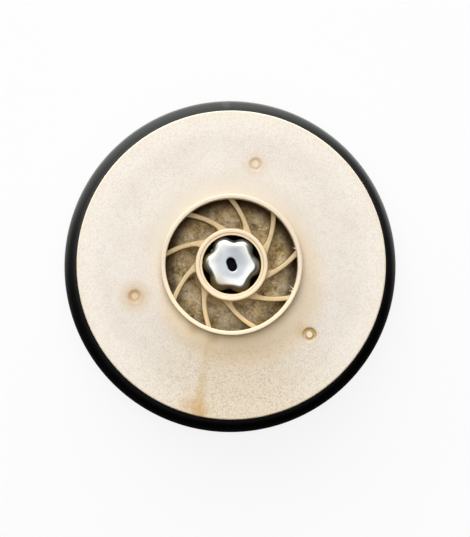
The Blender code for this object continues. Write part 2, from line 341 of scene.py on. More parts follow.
def new_material(name, roughness, metallic=0.0):
    """A material with one Principled shader, and the wires and the place of a point to build on."""
    made = bpy.data.materials.new(name)
    made.use_nodes = True
    made.node_tree.nodes.clear()
    wires = Wires(made.node_tree)
    shader = wires.add("ShaderNodeBsdfPrincipled", {"Roughness": roughness, "Metallic": metallic})
    output = wires.add("ShaderNodeOutputMaterial")
    made.node_tree.links.new(shader.outputs[0], output.inputs["Surface"])
    place = wires.add("ShaderNodeTexCoord").outputs["Object"]
    return made, wires, shader, place


def use(wires, tree, inputs):
    """Places a group in a material and gives its outputs."""
    node = wires.tree.nodes.new("ShaderNodeGroup")
    node.node_tree = tree
    node.location.x = 180 * len(wires.tree.nodes)
    for name, value in inputs.items():
        wires.feed(node.inputs[name], value)
    return node.outputs


def bump(wires, height, distance, strength=1.0):
    node = wires.add("ShaderNodeBump", {"Height": height, "Distance": distance, "Strength": strength})
    return node.outputs["Normal"]


cream, wires, shader, place = new_material("cream_plastic", 0.50)
shader.inputs["Specular IOR Level"].default_value = 0.10
shader.inputs["Coat Roughness"].default_value = 0.40
axis = use(wires, axis_place, {"Place": place})
reach = axis["Reach"]
height = axis["Height"]
outward = wires.add("ShaderNodeSeparateXYZ", {0: place}).outputs[1]
texture = use(wires, grain, {"Place": place, "Cloud Size": 9.0 * MM, "Speck Size": 0.42 * MM})
clusters = use(wires, grain, {"Place": place, "Cloud Size": 2.4 * MM, "Speck Size": 0.8 * MM})
print("cream: place and grain")

# %% Cream plastic: the clean colour, its clouds and its specks
warm = use(wires, soft_spot, {"Place": place, "Centre": WARM_CENTRE, "Full": 4.0 * MM, "Gone": 36.0 * MM})["Mask"]
colour = wires.tint(wires.between(texture["Cloud"], 0.30, 0.70), CREAM, PALE_CREAM)
colour = wires.tint(wires.between(reach, 33.0 * MM, 38.5 * MM, 0.0, 0.65), colour, PALE_EDGE)
colour = wires.tint(wires.math("MULTIPLY", warm, 0.42), colour, WARM_CREAM)
density = wires.math("MULTIPLY_ADD", warm, 0.24, 0.20)
density = wires.math("MULTIPLY", density, wires.between(clusters["Cloud"], 0.35, 0.65, 0.70, 1.25))
specks = wires.math("MULTIPLY", wires.between(texture["Speck"], 0.34, 0.60, 1.0, 0.0), density)
colour = wires.tint(specks, colour, SPECK_BROWN)
print("cream: clean colour")

# %% Cream plastic: the hub's lip, the eye's ring and the foot of that ring, with painted light and shade
outside = wires.between(reach, NECK_OUT_R - 0.30 * MM, NECK_OUT_R - 0.05 * MM)
on_face = wires.math("MULTIPLY", outside, wires.between(height, FRONT_Z + 1.8 * MM, FRONT_Z + 0.8 * MM))
raised = wires.between(height, NECK_TOP - 1.6 * MM, NECK_TOP - 0.9 * MM)
on_hub = wires.math("MULTIPLY", raised, wires.between(reach, HUB_R + 0.5 * MM, HUB_R + 0.2 * MM))
colour = wires.tint(wires.math("MULTIPLY", raised, 0.40), colour, YELLOWED)
colour = wires.tint(wires.math("MULTIPLY", on_hub, 0.30), colour, YELLOWED)
lip = wires.math("MULTIPLY", on_hub, wires.between(reach, GROOVE_R - 0.10 * MM, GROOVE_R - 0.20 * MM, 0.0, 0.6))
colour = wires.tint(lip, colour, YELLOWED)
# Painted shade: a dark brown line is painted along the hub's shallow groove.
groove_painted_shade = wires.math("ABSOLUTE", wires.math("SUBTRACT", reach, GROOVE_R))
groove_painted_shade = wires.math("MULTIPLY", on_hub, wires.between(groove_painted_shade, 0.05 * MM, 0.20 * MM, 0.70, 0.0))
colour = wires.tint(groove_painted_shade, colour, HALO_BROWN)
# Painted light: the near side of the eye's ring and of the hub's top is painted paler, as if lit from there.
near = wires.math("MULTIPLY", raised, wires.between(outward, 2.0 * MM, -12.0 * MM, 0.0, 0.85))
colour = wires.tint(near, colour, LIP_PAINTED_LIGHT)
edge = wires.between(reach, DISC_R - 1.6 * MM, DISC_R, 0.0, 0.26)
colour = wires.tint(edge, colour, YELLOWED)
# The foot round the eye's ring is tinted brown: partly dirt, partly painted shade in its fillet.
foot = wires.between(reach, NECK_OUT_R + 0.3 * MM, NECK_OUT_R + 1.5 * MM, 0.18, 0.0)
colour = wires.tint(wires.math("MULTIPLY", foot, on_face), colour, HALO_BROWN)
# Painted shade: a grey darkening beside the eye's ring, on the far side only.
far_side_painted_shade = wires.math("MULTIPLY", wires.between(reach, NECK_OUT_R, NECK_OUT_R + 9.0 * MM, 0.85, 0.0),
                  wires.between(outward, -8.0 * MM, 12.0 * MM))
colour = wires.tint(wires.math("MULTIPLY", far_side_painted_shade, on_face), colour, FAR_SIDE_SHADE_GREY)
print("cream: lip, ring and foot")

# %% Cream plastic: stain and painted shadow, painted light at the near foot, gates with painted shade, and weld line
# A brown stain and a painted shadow in one: a brown patch on the near side of the eye's ring.
stain_and_shadow = use(wires, soft_spot, {"Place": place, "Centre": STAIN_AND_SHADOW_CENTRE, "Full": 18.5 * MM, "Gone": 25.0 * MM})["Mask"]
colour = wires.tint(wires.math("MULTIPLY", wires.math("MULTIPLY", stain_and_shadow, on_face), 0.37), colour, STAIN_AND_SHADOW_BROWN)
# Painted light: the near side of the ring's foot, where its shadow falls, is painted paler.
near = wires.math("MULTIPLY", wires.between(outward, -7.0 * MM, -20.0 * MM, 0.0, 0.95),
                  wires.between(reach, NECK_OUT_R + 0.8 * MM, NECK_OUT_R + 5.0 * MM, 1.0, 0.0))
colour = wires.tint(wires.math("MULTIPLY", near, on_face), colour, NEAR_FOOT_PAINTED_LIGHT)
for number, gate in enumerate(GATES):
    wide, share, core = HALO_WIDTHS[number], HALO_SHARES[number], GATE_CORES[number]
    for size, amount in ((0.55 * wide, share), (wide, 0.6 * share)):
        halo = use(wires, soft_spot, {"Place": place, "Centre": gate, "Full": 0.4 * size, "Gone": size})["Mask"]
        halo = wires.math("MULTIPLY", halo, on_face)
        colour = wires.tint(wires.math("MULTIPLY", halo, amount), colour, HALO_BROWN)
    # Each gate's recess is tinted brown: partly its own discolouring, partly painted shade, heaviest towards one side.
    well_tint_and_shade = use(wires, soft_spot, {"Place": place, "Centre": gate, "Full": 1.40 * MM, "Gone": 2.15 * MM})["Mask"]
    nub = use(wires, soft_spot, {"Place": place, "Centre": gate, "Full": 0.60 * MM, "Gone": 1.05 * MM})["Mask"]
    side = use(wires, soft_spot, {"Place": place, "Centre": gate + GATE_TINT_AND_SHADE_SIDES[number], "Full": 0.8 * MM,
                                  "Gone": 3.0 * MM})["Mask"]
    well_tint_and_shade = wires.math("MULTIPLY", wires.math("SUBTRACT", well_tint_and_shade, nub, clamp=True), on_face)
    well_tint_and_shade = wires.math("MULTIPLY", well_tint_and_shade, wires.between(side, 0.0, 1.0, 0.20 * core, core))
    colour = wires.tint(well_tint_and_shade, colour, GATE_BROWN)
    colour = wires.tint(wires.math("MULTIPLY", wires.math("MULTIPLY", nub, on_face), NUB_SHARES[number]), colour, PALE_NUB)
for (x, y), size, amount in BROWN_SPOTS:
    spot = use(wires, soft_spot, {"Place": place, "Centre": Vector((x, y, 0)) * MM, "Full": 0.1 * size * MM,
                                  "Gone": size * MM})
    spot = wires.math("MULTIPLY", wires.math("MULTIPLY", spot["Mask"], on_face), amount)
    colour = wires.tint(wires.math("MULTIPLY", spot, wires.between(clusters["Cloud"], 0.3, 0.6, 0.6, 1.0)),
                        colour, WELD_BROWN)
weld_way = (WELD_END - WELD_START).normalized()
weld = use(wires, streak, {
    "Place": place, "Start": WELD_START, "Way": weld_way, "Long": (WELD_END - WELD_START).length,
    "Narrow": 0.7 * MM, "Wide": 3.0 * MM,
})
strength = wires.math("MULTIPLY", weld["Mask"], wires.between(weld["Along"], 0.0, 1.0, 0.22, 0.50))
strength = wires.math("MULTIPLY", strength, on_face)
strength = wires.math("MULTIPLY", strength, wires.between(clusters["Cloud"], 0.35, 0.60, 0.45, 1.0))
colour = wires.tint(strength, colour, WELD_BROWN)
print("cream: stain, gates and weld line")

# %% Cream plastic: the brown film in the passages, partly painted shade, and painted shade in the eye
inside = wires.between(reach, NECK_IN_R + 0.3 * MM, NECK_IN_R)
under = wires.between(height, FRONT_Z - 0.2 * MM, FRONT_Z - 1.0 * MM)
hidden = wires.math("MAXIMUM", inside, under)
sunk = wires.between(height, HUB_TOP - 1.2 * MM, HUB_TOP - 3.2 * MM, 0.0, 0.84)
low = wires.math("ADD", sunk, wires.between(height, FRONT_Z - 0.8 * MM, FLOOR_Z + 2.5 * MM, 0.0, 0.16))
# The film is laid on by depth in the eye and under the disc: partly brown deposit, partly painted shade.
film_and_painted_shade = wires.math("MULTIPLY", low, hidden)
film_and_painted_shade = wires.math("MULTIPLY", film_and_painted_shade, wires.between(reach, 30.0 * MM, 40.5 * MM, 1.0, 0.35))
patches = use(wires, grain, {"Place": place, "Cloud Size": 2.6 * MM, "Speck Size": 0.62 * MM})
veins = use(wires, grain, {"Place": place, "Cloud Size": 1.5 * MM, "Speck Size": 0.3 * MM})
aged = wires.math("MULTIPLY", wires.between(reach, HUB_R + 0.3 * MM, HUB_R + 4.5 * MM),
                  wires.between(height, FRONT_Z - 1.0 * MM, FRONT_Z - 3.5 * MM))
greyed = wires.math("MULTIPLY", wires.between(texture["Cloud"], 0.38, 0.58),
                    wires.between(outward, 14.0 * MM, -10.0 * MM, 0.30, 1.0))
colour = wires.tint(wires.math("MULTIPLY", film_and_painted_shade, wires.between(patches["Cloud"], 0.25, 0.70, 1.0, 0.86)),
                    colour, wires.tint(aged, OCHRE, wires.tint(greyed, FILM_BROWN, FILM_GREY)))
mottle = use(wires, grain, {"Place": place, "Cloud Size": 3.2 * MM, "Speck Size": 1.1 * MM})
on_floor = wires.math("MULTIPLY", film_and_painted_shade, wires.between(height, FLOOR_Z + 3.0 * MM, FLOOR_Z + 1.0 * MM))
for size, pale, dark in (("Cloud", 0.85, 0.58), ("Speck", 0.40, 0.30)):
    lighter = wires.math("MULTIPLY", on_floor, wires.between(mottle[size], 0.50, 0.64, 0.0, pale))
    colour = wires.tint(lighter, colour, FILM_PALE)
    darker = wires.math("MULTIPLY", on_floor, wires.between(mottle[size], 0.47, 0.32, 0.0, dark))
    colour = wires.tint(darker, colour, DEEP_BROWN)
dirt = wires.between(patches["Speck"], 0.34, 0.66, 0.60, 0.0)
vein = wires.math("ABSOLUTE", wires.math("SUBTRACT", veins["Cloud"], 0.5))
dirt = wires.math("MAXIMUM", dirt, wires.between(vein, 0.0, 0.05, 0.60, 0.0))
dirt = wires.math("MULTIPLY", dirt, wires.between(patches["Cloud"], 0.30, 0.62, 1.0, 0.22))
dirt = wires.math("MULTIPLY", dirt, wires.between(height, FRONT_Z - 1.0 * MM, FRONT_Z - 3.5 * MM, 0.25, 1.0))
colour = wires.tint(wires.math("MULTIPLY", film_and_painted_shade, dirt), colour, DEEP_BROWN)
# Painted shade: the sides of the vanes inside the eye are painted dark brown.
wall = wires.math("MULTIPLY", wires.between(height, FLOOR_Z + 0.3 * MM, FLOOR_Z + 0.9 * MM),
                  wires.between(height, PASSAGE_TOP + 1.1 * MM, PASSAGE_TOP + 0.4 * MM))
wall = wires.math("MULTIPLY", wall, wires.between(reach, HUB_R + 1.0 * MM, HUB_R + 3.5 * MM, 0.0, 0.60))
colour = wires.tint(wires.math("MULTIPLY", wall, inside), colour, DEEP_BROWN)
# Painted shade: the floor of the passages next to the eye's inner wall is painted dark brown, less on the near side.
corner = wires.math("MULTIPLY", hidden, wires.between(reach, 13.6 * MM, NECK_IN_R, 0.0, 0.94))
corner = wires.math("MULTIPLY", corner, wires.between(height, PASSAGE_TOP + 0.5 * MM, FLOOR_Z + 1.0 * MM))
corner = wires.math("MULTIPLY", corner, wires.between(outward, -13.0 * MM, 1.0 * MM, 0.45, 1.0))
colour = wires.tint(corner, colour, DEEP_BROWN)
# Painted shade: the counterbore round the shaft is painted near black below its top.
counterbore_painted_shade = wires.math("MULTIPLY", wires.between(reach, COUNTERBORE_R + 0.20 * MM, COUNTERBORE_R + 0.02 * MM),
                  wires.between(height, HUB_TOP - 0.3 * MM, HUB_TOP - 1.2 * MM))
colour = wires.tint(counterbore_painted_shade, colour, (0.006, 0.003, 0.002, 1.0))
wires.feed(shader.inputs["Base Color"], colour)
clean = wires.math("SUBTRACT", 1.0, wires.math("MAXIMUM", film_and_painted_shade, counterbore_painted_shade), clamp=True)
wires.feed(shader.inputs["Coat Weight"], wires.math("MULTIPLY", clean, 0.30))
rough = wires.between(texture["Cloud"], 0.3, 0.7, 0.44, 0.56)
wires.feed(shader.inputs["Roughness"], wires.math("MULTIPLY_ADD", film_and_painted_shade, 0.34, rough))
wires.feed(shader.inputs["Normal"], bump(wires, texture["Speck"], 0.04 * MM, 0.6))
print("material:", cream.name)

# %% [markdown]
# ## Black plastic, steel, rubber and the washer
#
# The guide is a fine-grained black plastic, satin, with a few pale scuffs on its rounded rim. The shaft is bright
# stainless steel with the rings that the turning tool left on its end. The bush is dull rubber, and the washer is a
# ground steel ring.

# %% Material: black plastic
black, wires, shader, place = new_material("black_moulding", 0.42)
shader.inputs["Specular IOR Level"].default_value = 0.12
shader.inputs["Coat Roughness"].default_value = 0.40
axis = use(wires, axis_place, {"Place": place})
texture = use(wires, grain, {"Place": place, "Cloud Size": 7.0 * MM, "Speck Size": 0.5 * MM})
colour = wires.tint(wires.between(texture["Cloud"], 0.35, 0.70), (0.0005, 0.0007, 0.0006, 1.0), (0.0012, 0.0015, 0.0013, 1.0))
scuff = use(wires, soft_spot, {
    "Place": place, "Centre": Vector((-1.2 * MM, RIM_R - 1.3 * MM, 0.0)), "Full": 0.3 * MM, "Gone": 1.6 * MM,
})
scuffed = wires.math("MULTIPLY", scuff["Mask"], wires.between(texture["Speck"], 0.40, 0.60))
scuffed = wires.math("MULTIPLY", scuffed, wires.between(axis["Height"], PLATE_TOP - 3.0 * MM, PLATE_TOP - 2.0 * MM))
colour = wires.tint(wires.math("MULTIPLY", scuffed, 0.5), colour, (0.10, 0.10, 0.09, 1.0))
wires.feed(shader.inputs["Base Color"], colour)
wires.feed(shader.inputs["Roughness"], wires.between(texture["Cloud"], 0.3, 0.7, 0.36, 0.44))
outward = wires.add("ShaderNodeSeparateXYZ", {0: place}).outputs[1]
on_rim = wires.math("MULTIPLY", wires.between(axis["Reach"], RIM_R - 5.0 * MM, RIM_R - 3.6 * MM),
                    wires.between(axis["Height"], RIM_BOTTOM - 0.6 * MM, RIM_BOTTOM - 0.1 * MM))
# Painted sheen: the rim's coat is heavy on the far side and gone on the near side.
far_side_painted_sheen = wires.between(outward, -18.0 * MM, 22.0 * MM, -0.25, 0.24)
far_side_painted_sheen = wires.math("MULTIPLY_ADD", far_side_painted_sheen, on_rim, 0.25)
wires.feed(shader.inputs["Coat Weight"], far_side_painted_sheen)
wires.feed(shader.inputs["Normal"], bump(wires, texture["Speck"], 0.02 * MM, 0.5))
print("material:", black.name)

# %% Material: bright steel
steel, wires, shader, place = new_material("bright_steel", 0.25, 1.0)
axis = use(wires, axis_place, {"Place": place})
texture = use(wires, grain, {"Place": place, "Cloud Size": 3.2 * MM, "Speck Size": 0.30 * MM})
# Painted reflection: the middle of the end face is painted a darker, bluer grey.
dish_painted_reflection = wires.between(axis["Reach"], 3.2 * MM, 5.2 * MM, 1.0, 0.0)
dish_painted_reflection = wires.math("MULTIPLY", dish_painted_reflection, wires.between(texture["Cloud"], 0.30, 0.70, 1.0, 0.80))
colour = wires.tint(dish_painted_reflection, (0.52, 0.52, 0.50, 1.0), (0.350, 0.370, 0.395, 1.0))
shade = use(wires, soft_spot, {
    "Place": place, "Centre": Vector((1.3 * MM, 2.0 * MM, 0.0)), "Full": 0.4 * MM, "Gone": 4.4 * MM,
})["Mask"]
colour = wires.tint(wires.math("MULTIPLY", shade, 0.65), colour, (0.22, 0.24, 0.28, 1.0))
parts = wires.add("ShaderNodeSeparateXYZ", {0: place}).outputs
# Painted reflection and shade: the chamfer's flank is painted brown, reaching higher on the near side.
leaning = wires.math("MULTIPLY_ADD", parts[1], 0.09, axis["Height"])
leaning = wires.math("MULTIPLY_ADD", parts[0], 0.04, leaning)
below = wires.between(leaning, shaft_high.z - 0.30 * MM, shaft_high.z - 0.85 * MM)
upper_end = wires.between(axis["Height"], shaft_high.z - 10.0 * MM, shaft_high.z - 8.0 * MM)
below = wires.math("MULTIPLY", below, upper_end)
flank = wires.math("MULTIPLY", below, wires.between(axis["Reach"], 4.0 * MM, 4.2 * MM))
film_and_painted_shade = wires.math("MULTIPLY", flank, wires.between(texture["Cloud"], 0.30, 0.65, 0.86, 1.0))
colour = wires.tint(film_and_painted_shade, colour, (0.250, 0.180, 0.065, 1.0))
# Painted shade: further down the flank, deep in the bore, the steel is painted black.
pocket_painted_shade = wires.math("MULTIPLY", flank, wires.between(axis["Height"], shaft_high.z - 1.3 * MM, shaft_high.z - 2.6 * MM))
colour = wires.tint(pocket_painted_shade, colour, (0.008, 0.005, 0.003, 1.0))
# Painted shade: the oval recess in the end face is painted black.
pit_painted_shade = wires.math("MULTIPLY", wires.between(axis["Height"], shaft_high.z - 0.3 * MM, shaft_high.z - 0.7 * MM),
                 wires.between(axis["Reach"], 2.2 * MM, 2.4 * MM, 1.0, 0.0))
pit_painted_shade = wires.math("MULTIPLY", pit_painted_shade, upper_end)
colour = wires.tint(pit_painted_shade, colour, (0.004, 0.004, 0.006, 1.0))
wires.feed(shader.inputs["Base Color"], colour)
rings = wires.math("SINE", wires.math("MULTIPLY", axis["Reach"], math.tau / (0.16 * MM)))
wires.feed(shader.inputs["Roughness"], wires.between(film_and_painted_shade, 0.0, 0.7, 0.36, 0.60))
wires.feed(shader.inputs["Normal"], bump(wires, wires.math("ADD", rings, texture["Speck"]), 0.002 * MM, 0.5))
print("material:", steel.name)

# %% Materials: rubber and ground steel
rubber, wires, shader, place = new_material("black_rubber", 0.80)
texture = use(wires, grain, {"Place": place, "Cloud Size": 3.0 * MM, "Speck Size": 0.4 * MM})
colour = wires.tint(texture["Cloud"], (0.010, 0.010, 0.010, 1.0), (0.030, 0.028, 0.026, 1.0))
wires.feed(shader.inputs["Base Color"], colour)
wires.feed(shader.inputs["Normal"], bump(wires, texture["Speck"], 0.04 * MM, 0.6))

ground, wires, shader, place = new_material("ground_steel", 0.30, 1.0)
axis = use(wires, axis_place, {"Place": place})
texture = use(wires, grain, {"Place": place, "Cloud Size": 2.0 * MM, "Speck Size": 0.25 * MM})
colour = wires.tint(texture["Cloud"], (0.52, 0.53, 0.54, 1.0), (0.70, 0.70, 0.69, 1.0))
wires.feed(shader.inputs["Base Color"], colour)
rings = wires.math("SINE", wires.math("MULTIPLY", axis["Reach"], math.tau / (0.22 * MM)))
wires.feed(shader.inputs["Normal"], bump(wires, rings, 0.002 * MM, 0.5))
print("materials:", rubber.name, ground.name)

# %% [markdown]
# ## Round corners for turned profiles
#
# Nearly every piece here is turned or moulded round the shaft, so it starts as a profile: a line of corners, each a
# radius and a height. Moulded plastic has no knife edges. Instead of a bevel afterwards, each corner carries its own
# rounding, and this function puts the arc in. The same arc serves inside and outside corners.

# %% Helper: a profile with rounded corners
ARC_STEPS = 4


def rounded(corners, closed, steps=ARC_STEPS):
    """The points of a profile whose corners are arcs. Each corner is (radius, height, rounding)."""
    points = []
    last = len(corners) - 1
    for number, (x, y, rounding) in enumerate(corners):
        if rounding == 0 or (not closed and number in (0, last)):
            points.append((x, y))
            continue
        here = Vector((x, y))
        before = (Vector(corners[number - 1][:2]) - here).normalized()
        after = (Vector(corners[(number + 1) % (last + 1)][:2]) - here).normalized()
        half = before.angle(after) / 2
        centre = here + (before + after).normalized() * rounding / math.sin(half)
        start = here + before * rounding / math.tan(half) - centre
        end = here + after * rounding / math.tan(half) - centre
        turn = start.angle_signed(end)
        for step in range(steps + 1):
            turned = start.copy()
            turned.rotate(Matrix.Rotation(-turn * step / steps, 2))
            points.append(tuple(centre + turned))
    return points


print("a square corner becomes", len(rounded([(0, 0, 0), (1, 0, 0.1), (1, 1, 0)], False)) - 2, "points")

# %% [markdown]
# ## A tree that turns profiles, with lobes
#
# A lathe spins a profile into a round body. The shaft isn't round: its radius swings six times in one turn. That is a
# rule, so Geometry Nodes can make it. The profile arrives as a line of vertices, one for each ring of the body. The
# vertex holds the ring's mean radius in X, its swing in Y and its height in Z. Two attributes hold how oval the ring
# is and how its lobes are shaped: "point" above nothing makes them pointed, below nothing makes them broad. The tree
# makes a grid with one row for each vertex, and then bends it into place:
#
#     wave = lobes * (angle - turned by)
#     radius = mean + swing * cos(wave) + point * cos(2 * wave) + oval * cos(2 * (angle - oval angle))
#
# With no swing it is a plain lathe, so the round pieces use it too. Where the grid meets itself, Merge by Distance
# welds the seam, and a ring of radius nothing closes to a point.

# %% Tree: lobed turning
INT = "NodeSocketInt"
GEOMETRY = "NodeSocketGeometry"
MATERIAL = "NodeSocketMaterial"
OBJECT = "NodeSocketObject"
WELD = 0.0002 * MM

lobed_turning, wires, given, result = group(
    "lobed turning", "GeometryNodeTree",
    [("Profile", GEOMETRY, None), ("Steps Around", INT, 180), ("Lobes", INT, LOBES), ("Turned By", FLOAT, 0.0),
     ("Oval Angle", FLOAT, 0.0), ("Finish", MATERIAL, None)],
    [("Body", GEOMETRY)],
)
rows = wires.add("GeometryNodeAttributeDomainSize", {0: given["Profile"]}).outputs["Point Count"]
columns = wires.math("ADD", given["Steps Around"], 1.0)
grid = wires.add("GeometryNodeMeshGrid", {"Vertices X": rows, "Vertices Y": columns}).outputs["Mesh"]
index = wires.add("GeometryNodeInputIndex").outputs[0]
row = wires.math("FLOOR", wires.math("DIVIDE", wires.math("ADD", index, 0.5), columns))
column = wires.math("SUBTRACT", index, wires.math("MULTIPLY", row, columns))
where = wires.add("GeometryNodeInputPosition").outputs[0]
ring = wires.add("GeometryNodeSampleIndex", {0: given["Profile"], "Value": where, "Index": row},
                 data_type="FLOAT_VECTOR")
ring = wires.add("ShaderNodeSeparateXYZ", {0: ring.outputs[0]}).outputs
extra = {}
for label in ("oval", "point"):
    stored = wires.add("GeometryNodeInputNamedAttribute", {"Name": label}, data_type="FLOAT").outputs[0]
    extra[label] = wires.add("GeometryNodeSampleIndex", {0: given["Profile"], "Value": stored, "Index": row},
                             data_type="FLOAT").outputs[0]
angle = wires.math("MULTIPLY", wires.math("DIVIDE", column, given["Steps Around"]), math.tau)
wave = wires.math("MULTIPLY", wires.math("SUBTRACT", angle, given["Turned By"]), given["Lobes"])
radius = wires.math("MULTIPLY_ADD", wires.math("COSINE", wave), ring[1], ring[0])
double = wires.math("MULTIPLY", wave, 2.0)
radius = wires.math("MULTIPLY_ADD", wires.math("COSINE", double), extra["point"], radius)
wave = wires.math("MULTIPLY", wires.math("SUBTRACT", angle, given["Oval Angle"]), 2.0)
radius = wires.math("MULTIPLY_ADD", wires.math("COSINE", wave), extra["oval"], radius)
bent = wires.add("ShaderNodeCombineXYZ", {
    0: wires.math("MULTIPLY", radius, wires.math("COSINE", angle)),
    1: wires.math("MULTIPLY", radius, wires.math("SINE", angle)),
    2: ring[2],
}).outputs[0]
body = wires.add("GeometryNodeSetPosition", {"Geometry": grid, "Position": bent}).outputs[0]
body = wires.add("GeometryNodeMergeByDistance", {"Geometry": body, "Distance": WELD}).outputs[0]
body = wires.add("GeometryNodeRealizeInstances", {"Geometry": body}).outputs[0]
body = wires.add("GeometryNodeSetMaterial", {"Geometry": body, "Material": given["Finish"]}).outputs[0]
wires.feed(result["Body"], body)
print("tree:", lobed_turning.name, "with", len(lobed_turning.nodes), "nodes")

# %% Helpers: run a tree and keep its result as a plain mesh
SMOOTH_ANGLE = math.radians(40.0)


def close_shell(mesh):
    """Welds the mesh, points its faces outwards and says how many edges are open and what it holds."""
    work = bmesh.new()
    work.from_mesh(mesh)
    bmesh.ops.remove_doubles(work, verts=work.verts, dist=WELD)
    bmesh.ops.recalc_face_normals(work, faces=work.faces)
    if work.calc_volume(signed=True) < 0:
        bmesh.ops.reverse_faces(work, faces=work.faces)
    open_edges = sum(1 for edge in work.edges if not edge.is_manifold)
    volume = work.calc_volume(signed=True)
    work.to_mesh(mesh)
    work.free()
    mesh.shade_smooth()
    mesh.set_sharp_from_angle(angle=SMOOTH_ANGLE)
    return open_edges, volume


def link(name, mesh):
    made = bpy.data.objects.new(name, mesh)
    bpy.context.scene.collection.objects.link(made)
    return made


def run_tree(host, tree, values):
    """Runs a tree on the host with these input values, and leaves the result as the host's own mesh."""
    modifier = host.modifiers.new(tree.name, "NODES")
    modifier.node_group = tree
    for item in tree.interface.items_tree:
        if item.item_type == "SOCKET" and item.in_out == "INPUT" and item.name in values:
            modifier[item.identifier] = values[item.name]
    depsgraph = bpy.context.evaluated_depsgraph_get()
    mesh = bpy.data.meshes.new_from_object(host.evaluated_get(depsgraph))
    host.modifiers.remove(modifier)
    mesh.name = host.name
    host.data = mesh
    return close_shell(mesh)


def even_normals(piece):
    """Lets the large flat faces lead the shading, so that a rounded edge doesn't darken the face beside it."""
    modifier = piece.modifiers.new("even normals", "WEIGHTED_NORMAL")
    modifier.keep_sharp = True
    depsgraph = bpy.context.evaluated_depsgraph_get()
    mesh = bpy.data.meshes.new_from_object(piece.evaluated_get(depsgraph))
    piece.modifiers.remove(modifier)
    mesh.name = piece.name
    piece.data = mesh


def turned(name, rings, finish, **values):
    """A body turned from rings of (mean radius, swing, height) and, if they need them, oval and point."""
    mesh = bpy.data.meshes.new(name)
    mesh.from_pydata([ring[:3] for ring in rings], [(step, step + 1) for step in range(len(rings) - 1)], [])
    for column, label in ((3, "oval"), (4, "point")):
        extra = mesh.attributes.new(label, "FLOAT", "POINT")
        extra.data.foreach_set("value", [ring[column] if len(ring) > column else 0.0 for ring in rings])
    piece = link(name, mesh)
    named = {label.replace("_", " ").title(): value for label, value in values.items()}
    open_edges, volume = run_tree(piece, lobed_turning, {**named, "Finish": finish})
    even_normals(piece)
    print(f"{name}: {len(piece.data.polygons)} faces, {open_edges} open edges, {volume / MM ** 3:.0f} cubic mm")
    return piece


def plain_rings(points, closed=True):
    """Rings with no lobes from a profile. A closed profile comes back to its first ring."""
    rings = [(radius, 0.0, height) for radius, height in points]
    return rings + rings[:1] if closed else rings


# %% [markdown]
# ## The front disc
#
# This is the piece that fills the picture: a flat disc with the raised ring of the eye, which runs in a seal. A lathe
# can't make it whole, because the three gate marks sit off the axis. It could be cut by Booleans, but a mould leaves
# soft slopes and a Boolean leaves hard ones. So the disc is a polar grid, written in mesh code: rings and spokes lie
# close together where the gates are and further apart elsewhere, and the height of each vertex on the front face comes
# from a function. The same function adds the faint waviness of a large flat moulding, about a hundredth of a
# millimetre, which breaks up the reflections.

# %% The front disc: heights of its front face
GATE_OUT_R = 2.05 * MM
NUB_R = 0.80 * MM
NUB_WALL = 0.35 * MM
NUB_HEIGHTS = [0.35, 0.20, 0.85]
SINK_R = 4.5 * MM
SINK_DEPTH = 0.05 * MM
WAVE_SIZE = 11.0 * MM
WAVE_DEPTH = 0.02 * MM


def ease(value, low, high):
    """0 at low, 1 at high and soft at both ends."""
    share = min(max((value - low) / (high - low), 0.0), 1.0)
    return share * share * (3.0 - 2.0 * share)


def front_height(x, y):
    """How far the front face lies above or below its plane."""
    height = WAVE_DEPTH * noise.noise(Vector((x, y, 0.0)) / WAVE_SIZE)
    for gate, depth, wall, nub in zip(GATES, GATE_DEPTHS, GATE_WALLS, NUB_HEIGHTS):
        away = math.hypot(x - gate.x, y - gate.y)
        if away < 3 * SINK_R:
            height -= SINK_DEPTH * math.exp(-(away / SINK_R) ** 2)
            height -= depth * ease(away, GATE_OUT_R, GATE_OUT_R - wall)
            height += nub * depth * ease(away, NUB_R + NUB_WALL, NUB_R)
    return height


print(f"deepest point of the last gate {front_height(GATES[2].x + 1.35 * MM, GATES[2].y) / MM:.2f} mm")

# %% The front disc: rings and spokes
FINE_STEP = 0.11 * MM
COARSE_STEP = 0.8 * MM
GATE_ZONE = 2.9 * MM
EDGE_ROUND = 0.35 * MM
NECK_ROUND = 0.22 * MM
NECK_FILLET = 0.4 * MM
EYE_LEAD = 0.6 * MM


def graded(start, end, zones, fine, coarse):
    """Numbers from start to end, close together inside the zones (middle, half width)."""
    values = [start]
    while values[-1] < end:
        near = any(abs(values[-1] - middle) < half for middle, half in zones)
        values.append(values[-1] + (fine if near else coarse))
    values[-1] = end
    return values


gate_spread = GATE_ZONE / GATE_R
spokes = graded(0.0, math.tau, [(angle, gate_spread) for angle in GATE_ANGLES], FINE_STEP / GATE_R, math.radians(1.0))
spokes = spokes[:-1]
middle = (NECK_OUT_R + DISC_R) / 2
outline = rounded(
    [
        (middle, FRONT_Z, 0.0),
        (DISC_R, FRONT_Z, EDGE_ROUND),
        (DISC_R, PASSAGE_TOP, EDGE_ROUND),
        (NECK_IN_R, PASSAGE_TOP, EYE_LEAD),
        (NECK_IN_R, NECK_TOP, NECK_ROUND),
        (NECK_OUT_R, NECK_TOP, NECK_ROUND),
        (NECK_OUT_R, FRONT_Z, NECK_FILLET),
        (middle, FRONT_Z, 0.0),
    ],
    closed=False,
)[1:-1]
face_radii = graded(outline[-1][0], outline[0][0], [(GATE_R, GATE_ZONE)], FINE_STEP, COARSE_STEP)
print(len(spokes), "spokes,", len(face_radii), "rings on the front face")

# %% The front disc: skin over the rings


